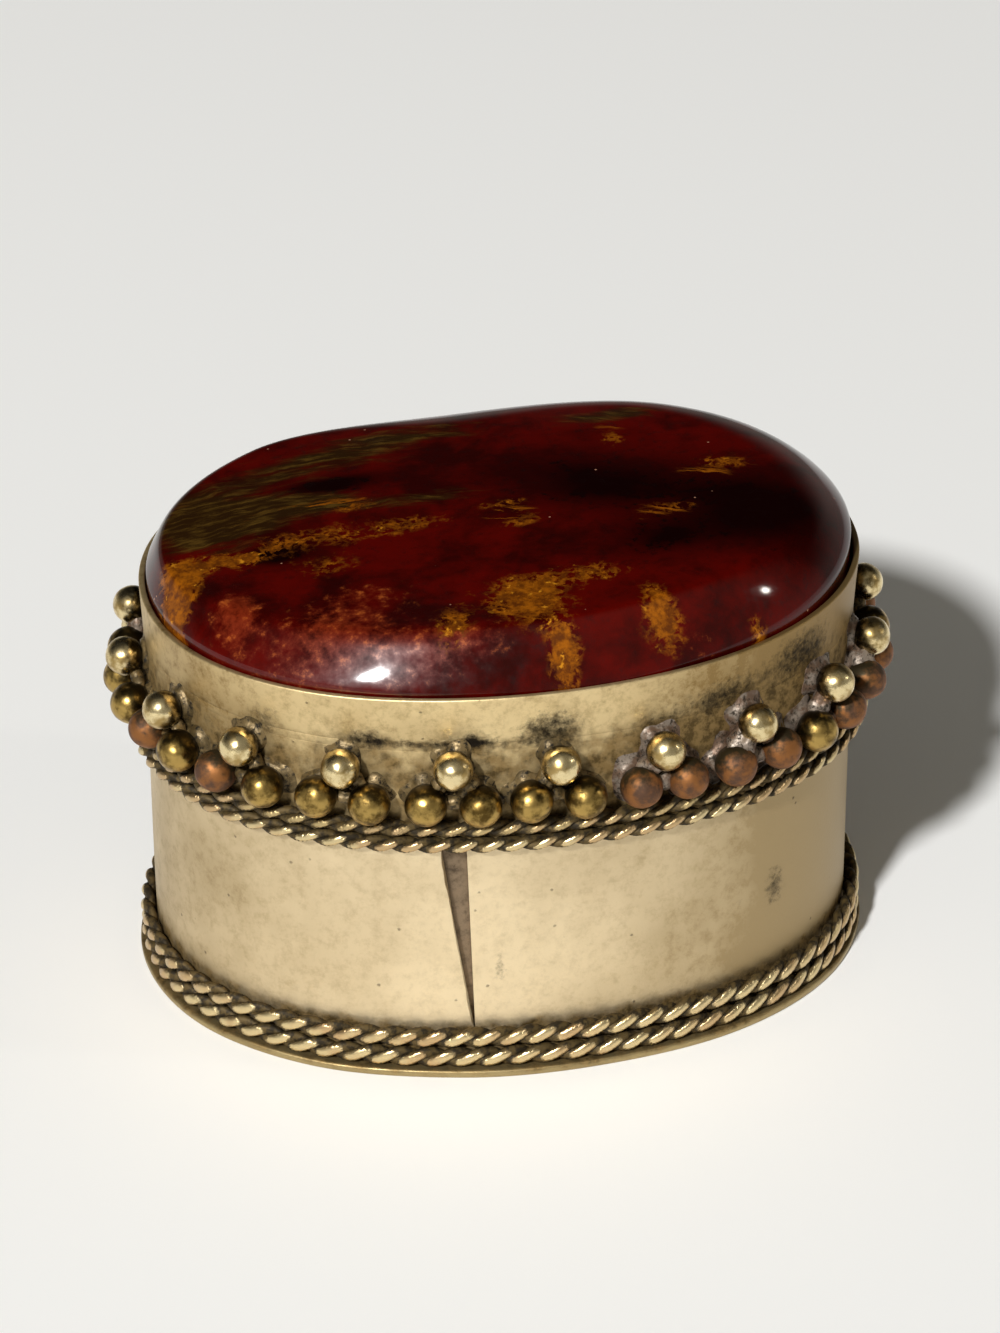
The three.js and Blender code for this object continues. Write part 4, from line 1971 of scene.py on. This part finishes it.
def share_around(values: Sequence[float], share: float) -> float:
    """Find the value at a share of the way round, of values at equal turns from the front.

    Args:
        values: The values.
        share: The share.

    Returns:
        The value, eased between its neighbours.
    """
    place = share % 1.0 * len(values)
    before = int(place)
    eased = smoothstep(0.0, 1.0, place - before)
    after = values[(before + 1) % len(values)]
    return values[before % len(values)] * (1 - eased) + after * eased


@dataclass
class Cabochon:
    """The stone: a girdle inside the bezel, a rounded side and a nearly flat, leaning top."""

    foot_oval: Oval
    oval: Oval
    foot: float
    girdle_top: float
    rise: float = 4.0 * MM
    end_rise: float = 1.35 * MM
    shoulders: Sequence[float] = (0.88, 0.88, 0.85, 0.86, 0.79, 0.94, 0.96, 0.885)
    foot_shares: Sequence[float] = (0.03, 0.35, 0.2, 0.2)
    side_powers: Sequence[float] = (0.85, 0.65, 0.7, 0.9)
    top_fall: float = 0.09
    softness: float = 0.2
    rings: int = 72
    steps: int = 320
    dent_size: float = 9 * MM
    dent_depth: float = 0.06 * MM

    def crown(self, filled: float, share: float) -> float:
        """Find the crown's height at a point, as a share of its rise.

        Args:
            filled: The share of the way from the stone's middle to its edge.
            share: The share of the way round.

        Returns:
            The height's share.
        """
        shoulder = share_around(self.shoulders, share)
        foot = share_around(self.foot_shares, share)
        reach = ((1 - filled) / (1 - shoulder)) ** share_around(self.side_powers, share)
        top = 1 - self.top_fall * (filled / shoulder) ** 2
        side = foot + (1 - self.top_fall - foot) * reach
        blend = max(0.0, self.softness - abs(top - side)) / self.softness
        return min(top, side) - blend * blend * self.softness / 4

    def build(self) -> Mesh:
        """Build the stone's mesh.

        Returns:
            The mesh.
        """
        bm = bmesh.new()
        radius = self.oval.radius
        shares = [1 - (i / self.rings) ** 2 for i in range(self.rings)]
        crown = [(radius * share, self.girdle_top + self.rise) for share in shares[1:]]
        girdle = [(0.0, self.foot), (radius, self.foot), (radius, self.girdle_top)]
        draw_profile(bm, [*girdle, *crown, (0.0, self.girdle_top + self.rise)], closed=False)
        spin_mesh(bm, self.steps)
        for vert in bm.verts:
            self.settle(vert)
        return bm

    def settle(self, vert: bmesh.types.BMVert) -> None:
        """Move a spun point onto the oval, and up to the crown if it isn't on the girdle.

        Args:
            vert: The point.
        """
        share = turn_of(vert.co) / FULL_TURN
        filled = min(1.0, vert.co.xy.length / self.oval.radius)
        height = vert.co.z
        oval = self.foot_oval if height < (self.foot + self.girdle_top) / 2 else self.oval
        edge = oval.place(share, 0.0, 0.0)
        if height > self.girdle_top + self.rise / 2:
            risen = self.crown(filled, share)
            lean = self.end_rise * edge.x * filled / (self.oval.length / 2)
            height = self.girdle_top + (self.rise + lean) * risen
            height += dent(edge * filled, self.dent_size, self.dent_depth)
        vert.co = Vector((edge.x * filled, edge.y * filled, height))

    def add_stone(self, dress: Dress) -> None:
        """Add the stone, marked with its zones.

        Args:
            dress: What it wears.
        """
        bm = self.build()
        for vein in Vein:
            zones = [zone for zone in JASPER_ZONES if zone.vein is vein]
            mark_points(bm, vein.value, lambda point, zones=zones: zone_level(zones, point))
        add_piece("jasper_cabochon", bm, dress, "stone_cabochon")


def zone_level(zones: Sequence[Zone], point: Vector) -> float:
    """Find how strongly some zones together mark a point."""
    return min(1.0, sum(zone.level(point) for zone in zones))


@dataclass(frozen=True)
class Lamp:
    """A round studio lamp that points at the box."""

    name: str
    toward: tuple[float, float, float]
    distance: float
    diameter: float
    power: float
    colour: str

    def add(self, aim: Vector) -> None:
        """Add the lamp.

        Args:
            aim: What it points at.
        """
        light = bpy.data.lights.new(self.name, "AREA")
        light.shape = "DISK"
        light.size = self.diameter
        light.energy = self.power
        light.color = linear(self.colour)[:3]
        lamp = bpy.data.objects.new(self.name, light)
        direction = Vector(self.toward).normalized()
        turned = direction.to_track_quat("Z", "Y").to_matrix().to_4x4()
        lamp.matrix_world = Matrix.Translation(aim + direction * self.distance) @ turned
        bpy.context.scene.collection.objects.link(lamp)


@dataclass
class Studio:
    """A pale floor, soft light from the left, and the camera."""

    aim: Vector = field(default_factory=lambda: Vector((0.54, 2.9, 17.17)) * MM)
    azimuth: float = math.radians(10.39)
    elevation: float = math.radians(29.68)
    roll: float = math.radians(-0.33)
    distance: float = 297.4 * MM
    focal_length: float = 124.8
    sensor_height: float = 36.0
    floor_size: float = 6.0
    horizon: str = "8c8a83"
    front_sky: str = "7f7c74"
    back_sky: str = "181716"
    world_strength: float = 1.0
    back_limits: Limits = (-0.3, 0.3)
    upper_limits: Limits = (0.12, 0.42)
    clip_start: float = 10 * MM
    lamps: tuple[Lamp, ...] = (
        Lamp("key", (-0.441, -0.652, 0.616), 2.5, 0.2, 76.0, "fffffe"),
        Lamp("glint", (0.86, -0.25, 0.45), 2.5, 0.1, 3.0, "fffaf0"),
    )

    def add_floor(self, material: bpy.types.Material) -> None:
        """Add the floor.

        Args:
            material: What it wears.
        """
        bm = bmesh.new()
        bmesh.ops.create_grid(bm, x_segments=1, y_segments=1, size=self.floor_size / 2)
        mesh = bpy.data.meshes.new("floor")
        bm.to_mesh(mesh)
        bm.free()
        mesh.materials.append(material)
        floor = bpy.data.objects.new("floor", mesh)
        bpy.context.scene.collection.objects.link(floor)

    def light(self) -> None:
        """Light the box with the lamps and a sky, pale at its horizon and dark behind the box."""
        for lamp in self.lamps:
            lamp.add(self.aim)
        world = bpy.data.worlds.new("studio")
        world.use_nodes = True
        tree = world.node_tree
        tree.nodes.clear()
        direction = add_node(tree, "TexCoord", {}, "Generated")
        axes = add_node(tree, "SeparateXYZ", {0: direction}).node
        masks = []
        for axis, (low, high) in (("Y", self.back_limits), ("Z", self.upper_limits)):
            steps = {"Value": axes.outputs[axis], "From Min": low, "From Max": high}
            masks.append(add_node(tree, "MapRange", steps, interpolation_type="SMOOTHSTEP"))
        behind, above = masks
        upper = layered(tree, self.front_sky, (behind, self.back_sky))
        colour = layered(tree, self.horizon, (above, upper))
        sky = add_node(tree, "Background", {"Color": colour, "Strength": self.world_strength})
        add_node(tree, "OutputWorld", {"Surface": sky})
        bpy.context.scene.world = world

    def add_camera(self) -> None:
        """Add the camera at the photograph's angle."""
        lens = bpy.data.cameras.new("camera")
        lens.sensor_fit = "VERTICAL"
        lens.sensor_height = self.sensor_height
        lens.lens = self.focal_length
        lens.clip_start = self.clip_start
        camera = bpy.data.objects.new("camera", lens)
        level = math.cos(self.elevation)
        ahead = Vector((
            level * math.sin(self.azimuth),
            level * math.cos(self.azimuth),
            -math.sin(self.elevation),
        ))
        flat_right = ahead.cross(Vector((0.0, 0.0, 1.0))).normalized()
        flat_up = flat_right.cross(ahead)
        right = flat_right * math.cos(self.roll) + flat_up * math.sin(self.roll)
        up = right.cross(ahead)
        turned = Matrix((right, up, -ahead)).transposed().to_4x4()
        camera.matrix_world = Matrix.Translation(self.aim - ahead * self.distance) @ turned
        bpy.context.scene.collection.objects.link(camera)
        bpy.context.scene.camera = camera
        bpy.context.scene.view_settings.view_transform = "Standard"


def box_oval() -> Oval:
    """Measure the oval of the wall's outer face."""
    low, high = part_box("base_wall")
    return Oval(high.x - low.x, high.y - low.y)


def build_base(oval: Oval) -> None:
    """Build the base from the frame's sizes.

    Args:
        oval: The oval of the wall's outer face.
    """
    plate_low, plate_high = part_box("base_plate")
    wall_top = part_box("base_wall")[1].z
    neck_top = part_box("neck_band")[1].z
    overhang = (plate_high.x - plate_low.x - oval.length) / 2
    base = Base(oval, overhang, plate_high.z, wall_top, neck_top)
    plate = RubbedSheet("rubbed_plate_brass", pale="aa976c", dull="7c653e", roughness=0.4)
    wall = RubbedSheet("rubbed_wall_brass", pit_radius=0.13 * MM)
    neck = RubbedSheet(
        "oxidised_neck_brass", pale="948068", dull="3c3024", mottling=0.7, roughness=0.5
    )
    base.add_plate(Dress("base", "plate_brass", [plate.material()]))
    base.add_wall(Dress("base", "wall_brass", [wall.material()]))
    base.add_neck(Dress("base", "neck_brass", [neck.material()]))
    base.add_wires(Dress("base", "wire_brass", [DrawnWire("twisted_foot_wire").material()]))


def build_lid(oval: Oval) -> None:
    """Build the lid from the frame's sizes.

    Args:
        oval: The oval of the wall's outer face.
    """
    skirt_low, skirt_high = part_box("lid_skirt")
    plate_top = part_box("lid_plate")[1].z
    rim_low, rim_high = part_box("bezel_band")
    bands = LidBands(
        oval,
        skirt_low.z,
        skirt_high.z,
        plate_top,
        rim_high.z,
        rim_high.x - rim_low.x,
        rim_high.y - rim_low.y,
    )
    sheet = RubbedSheet("rubbed_lid_brass", pale="e9d19e", dull="94794a", mottling=0.5).material()
    bands.add_skirt(Dress("lid", "wall_brass", [sheet]))
    bands.add_plate(Dress("lid", "plate_brass", [sheet]))
    bands.add_bezel(Dress("lid", "wall_brass", [sheet]))
    lower = DrawnWire("rubbed_lid_wire", rubbing=(1.0, 1.3))
    upper = DrawnWire("buried_lid_wire", bright="c4ad7c", rubbing=(1.15, 1.5))
    for node, finish in (("lid_wire_lower", lower), ("lid_wire_upper", upper)):
        bands.add_wire(node, Dress("lid", "wire_brass", [finish.material()]))
    tones = [
        MeltedGranule("melted_granule_pale", "eedaa8", "ab915c", roughness=0.22),
        MeltedGranule("melted_granule_golden", "b39554", "574420", roughness=0.3),
        MeltedGranule(
            "melted_granule_copper", "8a5a30", "5e4434", roughness=0.52, metallic=0.75
        ),
        FrozenSolder("frozen_silver_solder"),
        FrozenSolder("burnt_flux", metal="7c6844", flux="5a4a2c", grime="1d180e", metallic=0.5),
    ]
    row = GranuleRow(oval)
    row.add_clusters(Dress("lid", "granule_brass", [tone.material() for tone in tones]))
    stone_low, stone_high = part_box("stone_cabochon")
    girdle = Oval(stone_high.x - stone_low.x, stone_high.y - stone_low.y)
    girdle_top = rim_high.z - bands.girdle_drop
    stone = Cabochon(bands.stone_foot(), girdle, stone_low.z, girdle_top)
    stone.add_stone(Dress("lid", "jasper", [PolishedJasper("polished_jasper").material()]))


def main() -> None:
    """Build the studio, the base and the lid."""
    logging.basicConfig(level=logging.INFO, format="%(name)s: %(message)s")
    studio = Studio()
    studio.add_camera()
    studio.add_floor(PalePaint("matt_emulsion").material())
    studio.light()
    oval = box_oval()
    build_base(oval)
    build_lid(oval)


if __name__ == "__main__":
    main()
